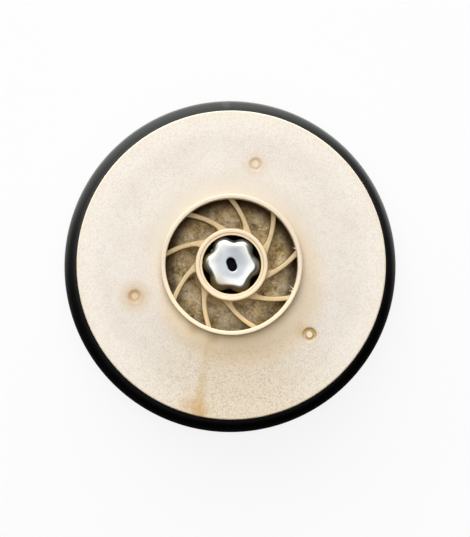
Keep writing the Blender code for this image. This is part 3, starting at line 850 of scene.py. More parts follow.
def skin(name, rings, closed_section, closed_round=True):
    """A mesh over rings of points. The section and the way round can each come back to their start."""
    count = len(rings[0])
    points = [point for ring in rings for point in ring]
    faces = []
    for row in range(len(rings) if closed_section else len(rings) - 1):
        here = row * count
        above = (row + 1) % len(rings) * count
        for step in range(count if closed_round else count - 1):
            after = (step + 1) % count
            faces.append((here + step, here + after, above + after, above + step))
    mesh = bpy.data.meshes.new(name)
    mesh.from_pydata(points, [], faces)
    return mesh


def joined(name, meshes):
    """One mesh that holds several closed ones."""
    work = bmesh.new()
    for mesh in meshes:
        work.from_mesh(mesh)
    whole = bpy.data.meshes.new(name)
    work.to_mesh(whole)
    work.free()
    return whole


def front_ring(radius, height, on_face):
    """One ring of the front disc. On the face each vertex gets its own height, which fades out at both ends."""
    fade = ease(radius, face_radii[0], face_radii[0] + 2 * MM) * ease(radius, face_radii[-1], face_radii[-1] - 2 * MM)
    ring = []
    for angle in spokes:
        x = radius * math.cos(angle)
        y = radius * math.sin(angle)
        lift = front_height(x, y) * fade if on_face else 0.0
        ring.append((x, y, height + lift))
    return ring


rings = [front_ring(radius, height, False) for radius, height in outline]
rings += [front_ring(radius, FRONT_Z, True) for radius in face_radii[1:-1]]
disc_mesh = skin("disc", rings, closed_section=True)
print("front disc:", len(disc_mesh.polygons), "faces")

# %% [markdown]
# Two places on the inner edge of the eye still carry flash: whiskers of plastic that squeezed between the halves of
# the mould. They catch the light in the photograph. Each is a thin sliver that tapers and curls, rooted in the wall.

# %% The front disc: flash on the edge of the eye
FLASH_ANGLES = [math.radians(angle) for angle in (14.0, 15.6, -21.5, -23.4, -24.6)]
FLASH_LENGTHS = [0.9 * MM, 0.6 * MM, 1.2 * MM, 1.0 * MM, 0.6 * MM]
FLASH_WIDE = 0.16 * MM
FLASH_STEPS = 6
FLASH_SIDES = 6


def sliver(angle, length, lean):
    """A tapered whisker that starts inside the wall of the eye and curls upwards."""
    rings = []
    for step in range(FLASH_STEPS + 1):
        share = step / FLASH_STEPS
        radius = NECK_IN_R + 0.2 * MM - share * (length + 0.2 * MM)
        turned_by = angle + lean * share * share
        height = NECK_TOP - 0.75 * MM + 0.45 * MM * share * share
        size = FLASH_WIDE * (1.0 - 0.85 * share)
        middle = Vector((radius * math.cos(turned_by), radius * math.sin(turned_by), height))
        across = Vector((-math.sin(turned_by), math.cos(turned_by), 0.0))
        ring = []
        for side in range(FLASH_SIDES):
            round_angle = math.tau * side / FLASH_SIDES
            ring.append(middle + across * size * math.cos(round_angle) + Vector((0, 0, 0.5 * size * math.sin(round_angle))))
        rings.append(ring)
    rings.insert(0, [sum(rings[0], Vector()) / FLASH_SIDES] * FLASH_SIDES)
    rings.append([sum(rings[-1], Vector()) / FLASH_SIDES] * FLASH_SIDES)
    return skin("sliver", rings, closed_section=False)


whiskers = [sliver(angle, length, 0.03 * (-1) ** number)
            for number, (angle, length) in enumerate(zip(FLASH_ANGLES, FLASH_LENGTHS))]
front_disc = link("front_disc", joined("front_disc", [disc_mesh, *whiskers]))
front_disc.data.materials.append(cream)
open_edges, volume = close_shell(front_disc.data)
print(f"front_disc: {len(front_disc.data.polygons)} faces, {open_edges} open edges, {volume / MM ** 3:.0f} cubic mm")

# %% [markdown]
# ## The runner: floor, hub and nine vanes in one moulding
#
# Behind the front disc, the floor of the passages, the hub and the vanes are one piece of plastic. Its charm is in the
# fillets: every vane grows out of the floor and out of the hub without an edge. Blades pushed through a disc would
# show a sharp line there, and a Boolean with a bevel seldom survives nine oblique meetings.
#
# So one sector of 40 degrees is lofted in mesh code, as a sheet with rows and columns. A row is a ring of the turned
# body, from the counterbore over the hub, along the floor, round the rim and back under to the hub's foot. A column
# follows the vane: it leans with the spiral, and across the vane it takes the vane's section, from the middle of the
# top over the rounded edge, down the wall and out through the fillet. Where the vane has no height, all columns lie on
# the turned body. Then a small tree turns nine copies about the shaft and welds them.

# %% The runner: the rule of the spiral
VANES = 9
SHARE = math.tau / VANES
VANE_MARK_R = 11.73 * MM
VANE_MARK_ANGLE = math.radians(71.5)
VANE_TURN_IN = 0.80
VANE_TURN_OUT = 1.70
VANE_OUT_R = 40.5 * MM
VANE_HALF = 0.64 * MM
VANE_RAISED_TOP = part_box("vane_1")[1].z
TURN_SLOPE = (VANE_TURN_OUT - VANE_TURN_IN) / (VANE_OUT_R - NECK_IN_R)


def vane_turn(radius):
    """How far the vane turns for each step outwards: nothing would be a straight spoke."""
    return VANE_TURN_IN + TURN_SLOPE * max(radius - NECK_IN_R, 0.0)


def vane_angle(radius):
    """The angle of a vane's middle line."""
    radius = max(radius, HUB_R)
    angle = VANE_MARK_ANGLE + VANE_TURN_IN * math.log(min(radius, NECK_IN_R) / VANE_MARK_R)
    if radius > NECK_IN_R:
        angle += (VANE_TURN_IN - TURN_SLOPE * NECK_IN_R) * math.log(radius / NECK_IN_R)
        angle += TURN_SLOPE * (radius - NECK_IN_R)
    return angle


print(f"a vane turns {math.degrees(vane_angle(VANE_OUT_R) - vane_angle(HUB_R)):.0f} degrees from hub to rim")

# %% The runner: the section of a vane
VANE_EDGE = 0.42 * MM
VANE_FOOT = 0.60 * MM
VANE_DRAFT = 0.10 * MM
ROOT_FLARE = 0.80 * MM
ROOT_REACH = 2.6 * MM
TUCK = 0.05 * MM
HUB_FILLET = 0.9 * MM
FLOOR_COLUMNS = 6


def vane_section(height, half):
    """Half of a vane's section from the middle of its top to the end of its foot, as (across, lift)."""
    full = min(1.0, height / (VANE_EDGE + VANE_FOOT))
    points = [(0.0, height), ((half - VANE_EDGE) * 0.6, height)]
    for step in range(5):
        angle = math.radians(22.5 * step)
        points.append((half - VANE_EDGE * (1 - math.sin(angle)), height - full * VANE_EDGE * (1 - math.cos(angle))))
    top = points[-1][1]
    bottom = full * VANE_FOOT
    for share in (0.33, 0.67):
        points.append((half + VANE_DRAFT * share, top + (bottom - top) * share))
    for step in range(5):
        angle = math.radians(22.5 * step)
        across = half + VANE_DRAFT + VANE_FOOT * (1 - math.cos(angle))
        points.append((across, full * VANE_FOOT * (1 - math.sin(angle))))
    return points


def root_flare(radius):
    """How much wider the vane is where it grows out of the hub: a quarter of an ellipse."""
    share = min(max((HUB_R + ROOT_REACH - radius) / ROOT_REACH, 0.0), 1.0)
    return ROOT_FLARE * (1.0 - math.sqrt(1.0 - share ** 2))


def sector_angles(radius, height):
    """Angles and lifts of one row of a sector, from the middle of one passage to the middle of the next."""
    stretch = math.hypot(1.0, vane_turn(radius)) / max(radius, HUB_R)
    half = [(across * stretch, lift) for across, lift in vane_section(height, VANE_HALF + root_flare(radius))]
    foot = half[-1][0]
    for step in range(1, FLOOR_COLUMNS + 1):
        half.append((foot + (SHARE / 2 - foot) * step / FLOOR_COLUMNS, 0.0))
    left = [(-offset, lift) for offset, lift in reversed(half[1:])]
    return [(vane_angle(radius) + offset, lift) for offset, lift in left + half]


print("one row of a sector has", len(sector_angles(VANE_OUT_R, 1 * MM)), "points")

# %% The runner: its rows
LIP_ROUND = 0.40 * MM
GROOVE_DEPTH = 0.16 * MM
GROOVE_HALF = 0.10 * MM
HUB_DRAFT = 0.12 * MM
FLOOR_FILLET = 4.2 * MM
RIM_EDGE = 0.35 * MM
BACK_FILLET = 1.5 * MM
VANE_END_R = 40.35 * MM
EYE_STEP_R = NECK_IN_R + 0.17 * MM


def refined(points, longest):
    """Puts more points on the long stretches of a profile."""
    result = [points[0]]
    for start, end in zip(points, points[1:]):
        pieces = max(1, math.ceil(math.dist(start, end) / longest))
        for piece in range(1, pieces + 1):
            result.append(tuple(a + (b - a) * piece / pieces for a, b in zip(start, end)))
    return result


def vane_top(radius):
    """The height of a vane's top: raised in the eye, tucked under the front disc, and rounded off at its end."""
    outside = ease(radius, EYE_STEP_R - 0.05 * MM, EYE_STEP_R + 0.05 * MM)
    top = VANE_RAISED_TOP + (PASSAGE_TOP + TUCK - VANE_RAISED_TOP) * outside
    near_hub = max(HUB_R + HUB_FILLET - radius, 0.0)
    top += HUB_FILLET - math.sqrt(max(HUB_FILLET ** 2 - min(near_hub, HUB_FILLET) ** 2, 0.0))
    near_end = min(max(radius - VANE_END_R + VANE_EDGE, 0.0), VANE_EDGE)
    return top - VANE_EDGE + math.sqrt(VANE_EDGE ** 2 - near_end ** 2)


hub_profile = rounded(
    [
        (COUNTERBORE_R, HUB_TOP - COUNTERBORE_DEPTH, 0.0),
        (COUNTERBORE_R, HUB_TOP - 0.06 * MM, 0.12 * MM),
        (GROOVE_R - GROOVE_HALF, HUB_TOP - 0.06 * MM, 0.0),
        (GROOVE_R, HUB_TOP - GROOVE_DEPTH, 0.0),
        (GROOVE_R + GROOVE_HALF, HUB_TOP - 0.02 * MM, 0.0),
        (GROOVE_R + 0.20 * MM, HUB_TOP, 0.0),
        (HUB_R, HUB_TOP, LIP_ROUND),
        (HUB_R + HUB_DRAFT, FLOOR_Z, FLOOR_FILLET),
        (HUB_R + 2 * FLOOR_FILLET, FLOOR_Z, 0.0),
    ],
    closed=False,
    steps=6,
)[:-1]
hub_profile = refined(hub_profile, 0.30 * MM)
floor_radii = graded(hub_profile[-1][0], VANE_END_R - VANE_EDGE, [(EYE_STEP_R, 0.4 * MM)], 0.04 * MM, 0.7 * MM)
top_rows = [(radius, height, vane_top(radius) if radius >= HUB_R else 0.0) for radius, height in hub_profile]
top_rows += [(radius, FLOOR_Z, vane_top(radius)) for radius in floor_radii[1:]]
for share in (0.4, 0.7, 0.9, 1.0):
    radius = VANE_END_R - VANE_EDGE * (1 - share)
    top_rows.append((radius, FLOOR_Z, vane_top(radius)))
end_top = top_rows[-1][2] - FLOOR_Z
for share in (0.33, 0.67, 1.0):
    lift = end_top + (VANE_FOOT - end_top) * share
    top_rows.append((VANE_END_R + 0.06 * MM * share, FLOOR_Z, FLOOR_Z + lift))
for step in range(1, 5):
    angle = math.radians(22.5 * step)
    top_rows.append((VANE_END_R + 0.06 * MM + 0.4 * MM * (1 - math.cos(angle)), FLOOR_Z,
                     FLOOR_Z + VANE_FOOT * (1 - math.sin(angle))))
under_profile = rounded(
    [
        (DISC_R - 0.5 * MM, FLOOR_Z, 0.0),
        (DISC_R, FLOOR_Z, RIM_EDGE),
        (DISC_R, BACK_Z, RIM_EDGE),
        (HUB_R, BACK_Z, BACK_FILLET),
        (HUB_R, HUB_BOTTOM, 0.3 * MM),
        (HUB_R - 0.5 * MM, HUB_BOTTOM, 0.0),
    ],
    closed=False,
)[1:]
under_rows = [(radius, height, 0.0) for radius, height in refined(under_profile, 1.6 * MM)]
rows = top_rows + under_rows
print(len(rows), "rows in the runner's sector")

# %% The runner: the sector and the lobed bore


def polar(radius, angle, height):
    return (radius * math.cos(angle), radius * math.sin(angle), height)


sector_rings = []
for radius, height, top in rows:
    angles = sector_angles(radius, max(top - height, 0.0))
    sector_rings.append([polar(radius, angle, height + lift) for angle, lift in angles])
sector = link("vaned_runner", skin("sector", sector_rings, closed_section=False, closed_round=False))

hub_angles = [angle for angle, lift in sector_angles(HUB_R, 0.0)][:-1]
all_angles = [angle + SHARE * number for number in range(VANES) for angle in hub_angles]


def bore_radius(angle):
    """The bore follows the lobes of the shaft."""
    middle = (BORE_LOBE_R + BORE_VALLEY_R) / 2
    swing = (BORE_LOBE_R - BORE_VALLEY_R) / 2
    return middle + swing * math.cos(LOBES * (angle - LOBES_TURNED_BY))


step_z = HUB_TOP - COUNTERBORE_DEPTH
bore_rings = [[polar(COUNTERBORE_R, angle, step_z) for angle in all_angles]]
for height in (step_z, step_z - 3.0 * MM, HUB_BOTTOM + 3.0 * MM, HUB_BOTTOM):
    bore_rings.append([polar(bore_radius(angle), angle, height) for angle in all_angles])
last_r, last_z, _ = rows[-1]
bore_rings.append([polar(last_r, angle, last_z) for angle in all_angles])
bore = link("bore", skin("bore", bore_rings, closed_section=False))
print("sector:", len(sector.data.polygons), "faces, bore:", len(bore.data.polygons), "faces")

# %% [markdown]
# The tree that follows is one to keep: it takes any sector, turns copies of it about the axis, adds a core that
# doesn't repeat, and welds the lot. The copies are instances until Realize Instances makes them real.

# %% Tree: ring of copies
ring_of_copies, wires, given, result = group(
    "ring of copies", "GeometryNodeTree",
    [("Sector", GEOMETRY, None), ("Count", INT, VANES), ("Core", OBJECT, None), ("Finish", MATERIAL, None)],
    [("Whole", GEOMETRY)],
)
points = wires.add("GeometryNodeMeshLine", {"Count": given["Count"], "Offset": (0.0, 0.0, 0.0)}).outputs[0]
index = wires.add("GeometryNodeInputIndex").outputs[0]
turn = wires.math("MULTIPLY", wires.math("DIVIDE", index, given["Count"]), math.tau)
turn = wires.add("ShaderNodeCombineXYZ", {2: turn}).outputs[0]
copies = wires.add("GeometryNodeInstanceOnPoints", {
    "Points": points, "Instance": given["Sector"], "Rotation": turn,
}).outputs[0]
copies = wires.add("GeometryNodeRealizeInstances", {"Geometry": copies}).outputs[0]
core = wires.add("GeometryNodeObjectInfo", {"Object": given["Core"]}).outputs["Geometry"]
join = wires.add("GeometryNodeJoinGeometry")
wires.feed(join.inputs[0], copies)
wires.feed(join.inputs[0], core)
whole = wires.add("GeometryNodeMergeByDistance", {"Geometry": join.outputs[0], "Distance": WELD}).outputs[0]
whole = wires.add("GeometryNodeRealizeInstances", {"Geometry": whole}).outputs[0]
whole = wires.add("GeometryNodeSetMaterial", {"Geometry": whole, "Material": given["Finish"]}).outputs[0]
wires.feed(result["Whole"], whole)
open_edges, volume = run_tree(sector, ring_of_copies, {"Count": VANES, "Core": bore, "Finish": cream})
bpy.data.objects.remove(bore)
print(f"vaned_runner: {len(sector.data.polygons)} faces, {open_edges} open edges, {volume / MM ** 3:.0f} cubic mm")

# %% [markdown]
# Three pins pushed the moulding out of its mould, and each left a small round pad on the floor of a passage. They
# don't repeat with the vanes, so they are added after the ring is made.

# %% The runner: pads of the ejector pins
PAD_RING_R = 14.6 * MM
PAD_ANGLES = [math.radians(angle) for angle in (184.0, -64.0, 63.0)]
PAD_R = 0.95 * MM
PAD_PROUD = 0.14 * MM
PAD_STEPS = 32


def pad(angle):
    middle = Vector(polar(PAD_RING_R, angle, FLOOR_Z))
    profile = [(0.0, -0.2 * MM), (PAD_R, -0.2 * MM), (PAD_R, 0.55 * PAD_PROUD), (PAD_R - 0.07 * MM, PAD_PROUD),
               (PAD_R - 0.22 * MM, PAD_PROUD), (PAD_R - 0.32 * MM, 0.4 * PAD_PROUD), (0.0, 0.3 * PAD_PROUD)]
    rings = []
    for radius, height in profile:
        rings.append([middle + Vector(polar(radius, math.tau * step / PAD_STEPS, height)) for step in range(PAD_STEPS)])
    return skin("pad", rings, closed_section=False)


runner = sector
runner.data = joined("vaned_runner", [runner.data, *[pad(angle) for angle in PAD_ANGLES]])
runner.data.materials.append(cream)
open_edges, volume = close_shell(runner.data)
print(f"vaned_runner: {len(runner.data.polygons)} faces, {open_edges} open edges")

# %% [markdown]
# ## The shaft and its sleeve
#
# The rings of the shaft follow one another from the middle of its lower end, up the lobed side, over the chamfer and
# the slightly dished end face, and down into the oval recess, where the swing fades out and the oval fades in.

# %% The lobed shaft
SHAFT_LOBE_R = 7.70 * MM
SHAFT_VALLEY_R = 6.40 * MM
SHAFT_POINT = -0.12 * MM
END_LOBE_R = 6.15 * MM
END_VALLEY_R = 5.35 * MM
END_POINT = 0.08 * MM
CHAMFER = 1.4 * MM
SHOULDER = 0.30 * MM
DISH = 0.08 * MM
RECESS_MEAN = 1.6 * MM
RECESS_OVAL = 0.35 * MM
RECESS_DEPTH = 3.0 * MM
RECESS_ANGLE = math.radians(110.0)


def star(lobe_r, valley_r, height, point):
    """One ring of the shaft, from its radius at the lobes and in the valleys."""
    return ((lobe_r + valley_r) / 2 - point, (lobe_r - valley_r) / 2, height, 0.0, point)


def mixed(first, second, share):
    return tuple(a + (b - a) * share for a, b in zip(first, second))


bottom_middle = (0.0, 0.0, shaft_low.z, 0.0, 0.0)
bottom_face = star(END_LOBE_R, END_VALLEY_R, shaft_low.z, END_POINT)
low_side = star(SHAFT_LOBE_R, SHAFT_VALLEY_R, shaft_low.z + CHAMFER, SHAFT_POINT)
high_side = star(SHAFT_LOBE_R, SHAFT_VALLEY_R, shaft_high.z - CHAMFER, SHAFT_POINT)
top_face = star(END_LOBE_R, END_VALLEY_R, shaft_high.z, END_POINT)
shoulder = mixed(top_face, high_side, 0.42)
shoulder = (*shoulder[:2], shaft_high.z - SHOULDER, *shoulder[3:])
recess_edge = (RECESS_MEAN, 0.0, shaft_high.z - DISH, RECESS_OVAL, 0.0)

shaft_rings = [bottom_middle, mixed(bottom_face, bottom_middle, 0.04), bottom_face]
shaft_rings += [mixed(bottom_face, low_side, share) for share in (0.06, 0.5, 0.94)]
shaft_rings += [mixed(low_side, high_side, share) for share in (0.0, 0.004, 0.35, 0.65, 0.996, 1.0)]
shaft_rings += [mixed(high_side, shoulder, share) for share in (0.05, 0.35, 0.65, 0.90)]
shaft_rings += [mixed(shoulder, top_face, share) for share in (0.10, 0.50, 0.90)]
rim_inside = (top_face[0] * 0.975, *top_face[1:])
shaft_rings.append(mixed(mixed(shoulder, top_face, 0.97), rim_inside, 0.35))
shaft_rings.append(rim_inside)
for share in (0.04, 0.12, 0.25, 0.40, 0.55, 0.70, 0.82, 0.92):
    ring = mixed(rim_inside, recess_edge, share)
    sunk = shaft_high.z - DISH * ease(share, 0.0, 0.55)
    shaft_rings.append((*ring[:2], sunk, *ring[3:]))
shaft_rings.append(recess_edge)
for inset, depth in ((0.05, 0.03), (0.10, 0.12), (0.11, 0.4), (0.13, 1.5), (0.16, 2.8), (0.30, 3.0)):
    size = RECESS_MEAN - inset * MM
    shaft_rings.append((size, 0.0, recess_edge[2] - depth * MM, RECESS_OVAL))
shaft_rings.append((0.0, 0.0, recess_edge[2] - RECESS_DEPTH, 0.0))
shaft = turned("lobed_shaft", shaft_rings, steel, steps_around=240, lobes=LOBES, turned_by=LOBES_TURNED_BY,
               oval_angle=RECESS_ANGLE)

# %% The sleeve on the shaft
SLEEVE_R = sleeve_high.x
SLEEVE_EDGE = 0.15 * MM
outside = rounded(
    [
        (COUNTERBORE_R, sleeve_low.z, 0.0),
        (SLEEVE_R, sleeve_low.z, SLEEVE_EDGE),
        (SLEEVE_R, sleeve_high.z, SLEEVE_EDGE),
        (COUNTERBORE_R, sleeve_high.z, 0.0),
    ],
    closed=False,
)
lobe_mean = (BORE_LOBE_R + BORE_VALLEY_R) / 2
lobe_swing = (BORE_LOBE_R - BORE_VALLEY_R) / 2
sleeve_rings = plain_rings(outside, closed=False)
sleeve_rings += [(lobe_mean, lobe_swing, sleeve_high.z), (lobe_mean, lobe_swing, sleeve_low.z), sleeve_rings[0]]
sleeve = turned("journal_sleeve", sleeve_rings, steel, steps_around=180, lobes=LOBES, turned_by=LOBES_TURNED_BY)

# %% [markdown]
# ## The guide
#
# The guide's plate, its rounded rim and the boss of the bearing are one black moulding, so they are turned from one
# profile. The cover closes its back. Between them seven blades lead the water back to the middle: they follow a spiral
# again, so a second tree sweeps a rounded section along it and turns the copies.

# %% The guide's body, cover and washer
BUSH_OUT_R = bush_high.x
BOSS_OUT_R = boss_high.x
COVER_IN_R = 19.5 * MM
COVER_R = cover_high.x
PLATE_EDGE = 0.25 * MM
RIM_UNDER_R = 40.6 * MM

guide_profile = rounded(
    [
        (RIM_R, RIM_BOTTOM, 0.25 * MM),
        (RIM_R, PLATE_TOP, RIM_ROUND - 0.26 * MM),
        (BOSS_OUT_R, PLATE_TOP, PLATE_EDGE),
        (BOSS_OUT_R, boss_high.z, 0.0),
        (BUSH_OUT_R + 0.02 * MM, boss_high.z, 0.1 * MM),
        (BUSH_OUT_R + 0.02 * MM, boss_low.z, 0.2 * MM),
        (BOSS_OUT_R, boss_low.z, 0.3 * MM),
        (BOSS_OUT_R, PLATE_BOTTOM, 1.0 * MM),
        (RIM_UNDER_R, PLATE_BOTTOM, 1.2 * MM),
        (RIM_UNDER_R + 0.5 * MM, RIM_BOTTOM, 0.4 * MM),
    ],
    closed=True,
    steps=8,
)
guide_body = turned("guide_body", plain_rings(guide_profile), black, steps_around=240)

cover_profile = rounded(
    [
        (COVER_IN_R, 0.0, 0.3 * MM),
        (COVER_R, 0.0, 0.3 * MM),
        (COVER_R, cover_high.z, 0.45 * MM),
        (COVER_IN_R, cover_high.z, 0.6 * MM),
    ],
    closed=True,
)
cover = turned("cover_plate", plain_rings(cover_profile), black, steps_around=240)

WASHER_IN_R = 8.3 * MM
washer_profile = rounded(
    [
        (WASHER_IN_R, washer_low.z, 0.12 * MM),
        (washer_high.x, washer_low.z, 0.12 * MM),
        (washer_high.x, washer_high.z, 0.12 * MM),
        (WASHER_IN_R, washer_high.z, 0.12 * MM),
    ],
    closed=True,
)
washer = turned("ground_washer", plain_rings(washer_profile), ground, steps_around=180)

# %% The fluted bush
FLUTES = 8
FLUTE_DEPTH = 0.7 * MM
BUSH_IN_R = SLEEVE_R + 0.3 * MM
outside = rounded(
    [
        (BUSH_IN_R + FLUTE_DEPTH, bush_low.z, 0.0),
        (BUSH_OUT_R, bush_low.z, 0.2 * MM),
        (BUSH_OUT_R, bush_high.z, 0.2 * MM),
        (BUSH_IN_R + FLUTE_DEPTH, bush_high.z, 0.0),
    ],
    closed=False,
)
flute_mean = BUSH_IN_R + FLUTE_DEPTH / 2
bush_rings = plain_rings(outside, closed=False)
for height in (bush_high.z - 0.25 * MM, bush_high.z - 0.5 * MM, bush_low.z + 0.5 * MM, bush_low.z + 0.25 * MM):
    bush_rings.append((flute_mean, FLUTE_DEPTH / 2, height))
bush_rings.append(bush_rings[0])
bush = turned("fluted_bush", bush_rings, rubber, steps_around=192, lobes=FLUTES)

# %% Tree: spiral blades
spiral_blades, wires, given, result = group(
    "spiral blades", "GeometryNodeTree",
    [("Start", GEOMETRY, None), ("Count", INT, 7), ("Steps", INT, 40), ("Inner Radius", FLOAT, 0.014),
     ("Outer Radius", FLOAT, 0.044), ("Turn", FLOAT, -0.9), ("Thickness", FLOAT, 0.0018), ("Bottom", FLOAT, 0.0),
     ("Top", FLOAT, 0.005), ("Rim Radius", FLOAT, 0.04), ("Rim Top", FLOAT, 0.004), ("Edge", FLOAT, 0.0002),
     ("Finish", MATERIAL, None)],
    [("Blades", GEOMETRY)],
)
line = wires.add("GeometryNodeMeshLine", {"Count": given["Steps"], "Offset": (0.0, 0.0, 0.0)}).outputs[0]
index = wires.add("GeometryNodeInputIndex").outputs[0]
share = wires.math("DIVIDE", index, wires.math("SUBTRACT", given["Steps"], 1.0))
span = wires.math("SUBTRACT", given["Outer Radius"], given["Inner Radius"])
radius = wires.math("MULTIPLY_ADD", share, span, given["Inner Radius"])
ratio = wires.math("DIVIDE", radius, given["Inner Radius"])
angle = wires.math("MULTIPLY", wires.math("LOGARITHM", ratio, math.e), given["Turn"])
tall = wires.math("SUBTRACT", given["Top"], given["Bottom"])
place = wires.add("ShaderNodeCombineXYZ", {
    0: wires.math("MULTIPLY", radius, wires.math("COSINE", angle)),
    1: wires.math("MULTIPLY", radius, wires.math("SINE", angle)),
    2: wires.math("MULTIPLY_ADD", tall, 0.5, given["Bottom"]),
}).outputs[0]
path = wires.add("GeometryNodeSetPosition", {"Geometry": line, "Position": place}).outputs[0]
path = wires.add("GeometryNodeMeshToCurve", {0: path}).outputs[0]
path = wires.add("GeometryNodeSetCurveNormal", {0: path}, mode="Z_UP").outputs[0]
section = wires.add("GeometryNodeCurvePrimitiveQuadrilateral", {"Width": given["Thickness"], "Height": tall}).outputs[0]
section = wires.add("GeometryNodeFilletCurve", {"Curve": section, "Radius": given["Edge"], "Count": 3},
                    mode="POLY").outputs[0]
blade = wires.add("GeometryNodeCurveToMesh", {0: path, 1: section, "Fill Caps": True}).outputs[0]
where = wires.add("GeometryNodeInputPosition").outputs[0]
parts = wires.add("ShaderNodeSeparateXYZ", {0: where}).outputs
reach = wires.add("ShaderNodeVectorMath", {0: wires.add("ShaderNodeCombineXYZ", {0: parts[0], 1: parts[1]}).outputs[0]},
                  operation="LENGTH").outputs["Value"]
ceiling = wires.between(reach, given["Rim Radius"], wires.math("ADD", given["Rim Radius"], 0.0004),
                        given["Top"], given["Rim Top"])
lowered = wires.add("ShaderNodeCombineXYZ", {0: parts[0], 1: parts[1], 2: wires.math("MINIMUM", parts[2], ceiling)})
blade = wires.add("GeometryNodeSetPosition", {"Geometry": blade, "Position": lowered.outputs[0]}).outputs[0]
points = wires.add("GeometryNodeMeshLine", {"Count": given["Count"], "Offset": (0.0, 0.0, 0.0)}).outputs[0]
turn = wires.math("MULTIPLY", wires.math("DIVIDE", index, given["Count"]), math.tau)
turn = wires.add("ShaderNodeCombineXYZ", {2: turn}).outputs[0]
blades = wires.add("GeometryNodeInstanceOnPoints", {"Points": points, "Instance": blade, "Rotation": turn}).outputs[0]
blades = wires.add("GeometryNodeRealizeInstances", {"Geometry": blades}).outputs[0]
blades = wires.add("GeometryNodeSetMaterial", {"Geometry": blades, "Material": given["Finish"]}).outputs[0]
wires.feed(result["Blades"], blades)
print("tree:", spiral_blades.name, "with", len(spiral_blades.nodes), "nodes")

# %% The return blades
RETURN_VANES = 7
blades = link("return_blades", bpy.data.meshes.new("return_blades"))
open_edges, volume = run_tree(blades, spiral_blades, {
    "Count": RETURN_VANES, "Steps": 60, "Inner Radius": 14.2 * MM, "Outer Radius": 44.0 * MM, "Turn": -0.9,
    "Thickness": 1.8 * MM, "Bottom": cover_high.z - 0.05 * MM, "Top": PLATE_BOTTOM + 0.05 * MM,
    "Rim Radius": RIM_UNDER_R, "Rim Top": RIM_BOTTOM + 0.05 * MM, "Edge": 0.25 * MM, "Finish": black,
})
print(f"return_blades: {len(blades.data.polygons)} faces, {open_edges} open edges, {volume / MM ** 3:.0f} cubic mm")

# %% [markdown]
# ## Tie every piece to the frame
#
# Each piece rides on one body and stands for the solids it replaces, which are hidden. The table also names a slot for
# its finish, which nothing here reads.

# %% Ride and replace
vane_nodes = [f"vane_{number + 1}" for number in range(VANES)]
return_nodes = [f"return_vane_{number + 1}" for number in range(RETURN_VANES)]
PLACES = [
    (front_disc, "rotor", "beige_plastic", ["front_shroud"]),
    (runner, "rotor", "beige_plastic", ["back_shroud", "hub", *vane_nodes]),
    (shaft, "rotor", "shaft_steel", ["shaft"]),
    (sleeve, "rotor", "shaft_steel", ["shaft_sleeve"]),
    (guide_body, "guide", "black_plastic", ["guide_disc", "guide_rim", "bearing_boss"]),
    (blades, "guide", "black_plastic", return_nodes),
    (cover, "guide", "black_plastic", ["back_cover"]),
    (bush, "guide", "rubber", ["bearing_bush"]),
    (washer, "guide", "washer_steel", ["thrust_washer"]),
]
for piece, body, slot, nodes in PLACES:
    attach(piece, body)
    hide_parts(*nodes)
print(len(PLACES), "pieces stand for", sum(len(nodes) for *_, nodes in PLACES), "solids")

# %% [markdown]
# ## Floor and light
#
# The stage lies on white paper, which the camera sees evenly white. To every other ray the paper glows, a painted
# glow: bright at the far side and nearly dark at the near side. A small soft light stands high at the far side, so the
# eye's ring throws its shadow towards the viewer, and a larger one hangs over the camera, which is what the polished
# end of the shaft mirrors. The near side stays dark: that keeps the near part of the black rim black.

# %% Floor
FLOOR_SIZE = 1.5
FLOOR_Z_LOW = -0.1 * MM
floor_mesh = bpy.data.meshes.new("paper")
corners = [(-1, -1), (1, -1), (1, 1), (-1, 1)]
floor_mesh.from_pydata([(x * FLOOR_SIZE, y * FLOOR_SIZE, FLOOR_Z_LOW) for x, y in corners], [], [(0, 1, 2, 3)])
floor = link("paper", floor_mesh)
paper, wires, shader, place = new_material("white_paper", 0.9)
shader.inputs["Base Color"].default_value = (0.10, 0.10, 0.10, 1.0)
shader.inputs["Specular IOR Level"].default_value = 0.0
shader.inputs["Emission Strength"].default_value = 1.0
seen = wires.add("ShaderNodeLightPath").outputs["Is Camera Ray"]
away = wires.add("ShaderNodeSeparateXYZ", {0: place}).outputs[1]
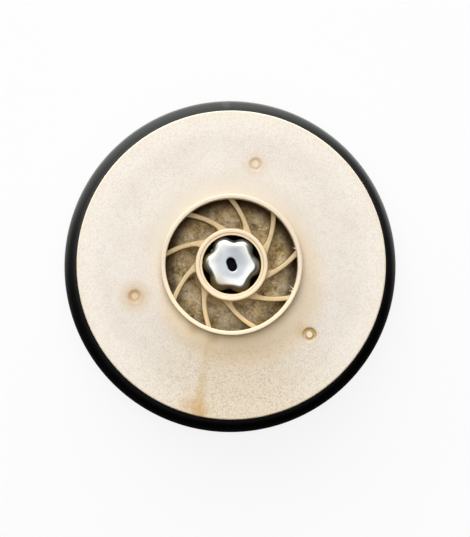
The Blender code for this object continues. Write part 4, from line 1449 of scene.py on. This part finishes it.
# Painted glow: to rays other than the camera's the paper glows, bright at the far side and nearly dark at the near
# side.
glow = wires.tint(wires.between(away, -0.03, 0.05), (0.02, 0.02, 0.02, 1.0), (2.20, 2.26, 2.18, 1.0))
wires.feed(shader.inputs["Emission Color"], wires.tint(seen, glow, (0.87, 0.87, 0.87, 1.0)))
from_below = wires.add("ShaderNodeNewGeometry").outputs["Backfacing"]
wires.feed(shader.inputs["Alpha"], wires.math("SUBTRACT", 1.0, from_below))
floor_mesh.materials.append(paper)

# %% Lights and world


def area_light(name, direction, distance, size, power, colour):
    """A soft square light that looks at the middle of the stage from a direction."""
    data = bpy.data.lights.new(name, "AREA")
    data.size = size
    data.energy = power
    data.color = colour
    made = bpy.data.objects.new(name, data)
    bpy.context.scene.collection.objects.link(made)
    made.location = Vector(direction).normalized() * distance
    made.rotation_euler = (-made.location).to_track_quat("-Z", "Y").to_euler()
    return made


def towards(azimuth, elevation):
    """A direction from its angle in the picture, anticlockwise from the right, and its height above the paper."""
    azimuth = math.radians(azimuth)
    elevation = math.radians(elevation)
    return (math.cos(azimuth) * math.cos(elevation), math.sin(azimuth) * math.cos(elevation), math.sin(elevation))


area_light("far_light", towards(106, 68), 0.65, 0.42, 1.85, (1.0, 0.99, 0.975))
area_light("top_light", towards(270, 85), 1.1, 1.20, 3.75, (1.0, 1.0, 1.0))

world = bpy.data.worlds.new("studio")
bpy.context.scene.world = world
world.use_nodes = True
world.node_tree.nodes.clear()
wires = Wires(world.node_tree)
direction = wires.add("ShaderNodeTexCoord").outputs["Generated"]
parts = wires.add("ShaderNodeSeparateXYZ", {0: direction}).outputs
away = wires.math("MULTIPLY_ADD", parts[0], -0.20, parts[1])
colour = wires.tint(wires.between(away, -0.35, 0.35), (0.01, 0.01, 0.009, 1.0), (0.22, 0.23, 0.22, 1.0))
colour = wires.tint(wires.between(away, 0.40, 0.95), colour, (3.80, 3.90, 3.76, 1.0))
seen = wires.add("ShaderNodeLightPath").outputs["Is Camera Ray"]
colour = wires.tint(seen, colour, (0.930, 0.930, 0.930, 1.0))
background = wires.add("ShaderNodeBackground", {"Color": colour, "Strength": 1.0})
output = wires.add("ShaderNodeOutputWorld")
world.node_tree.links.new(background.outputs[0], output.inputs["Surface"])
bpy.context.scene.view_settings.view_transform = "Standard"
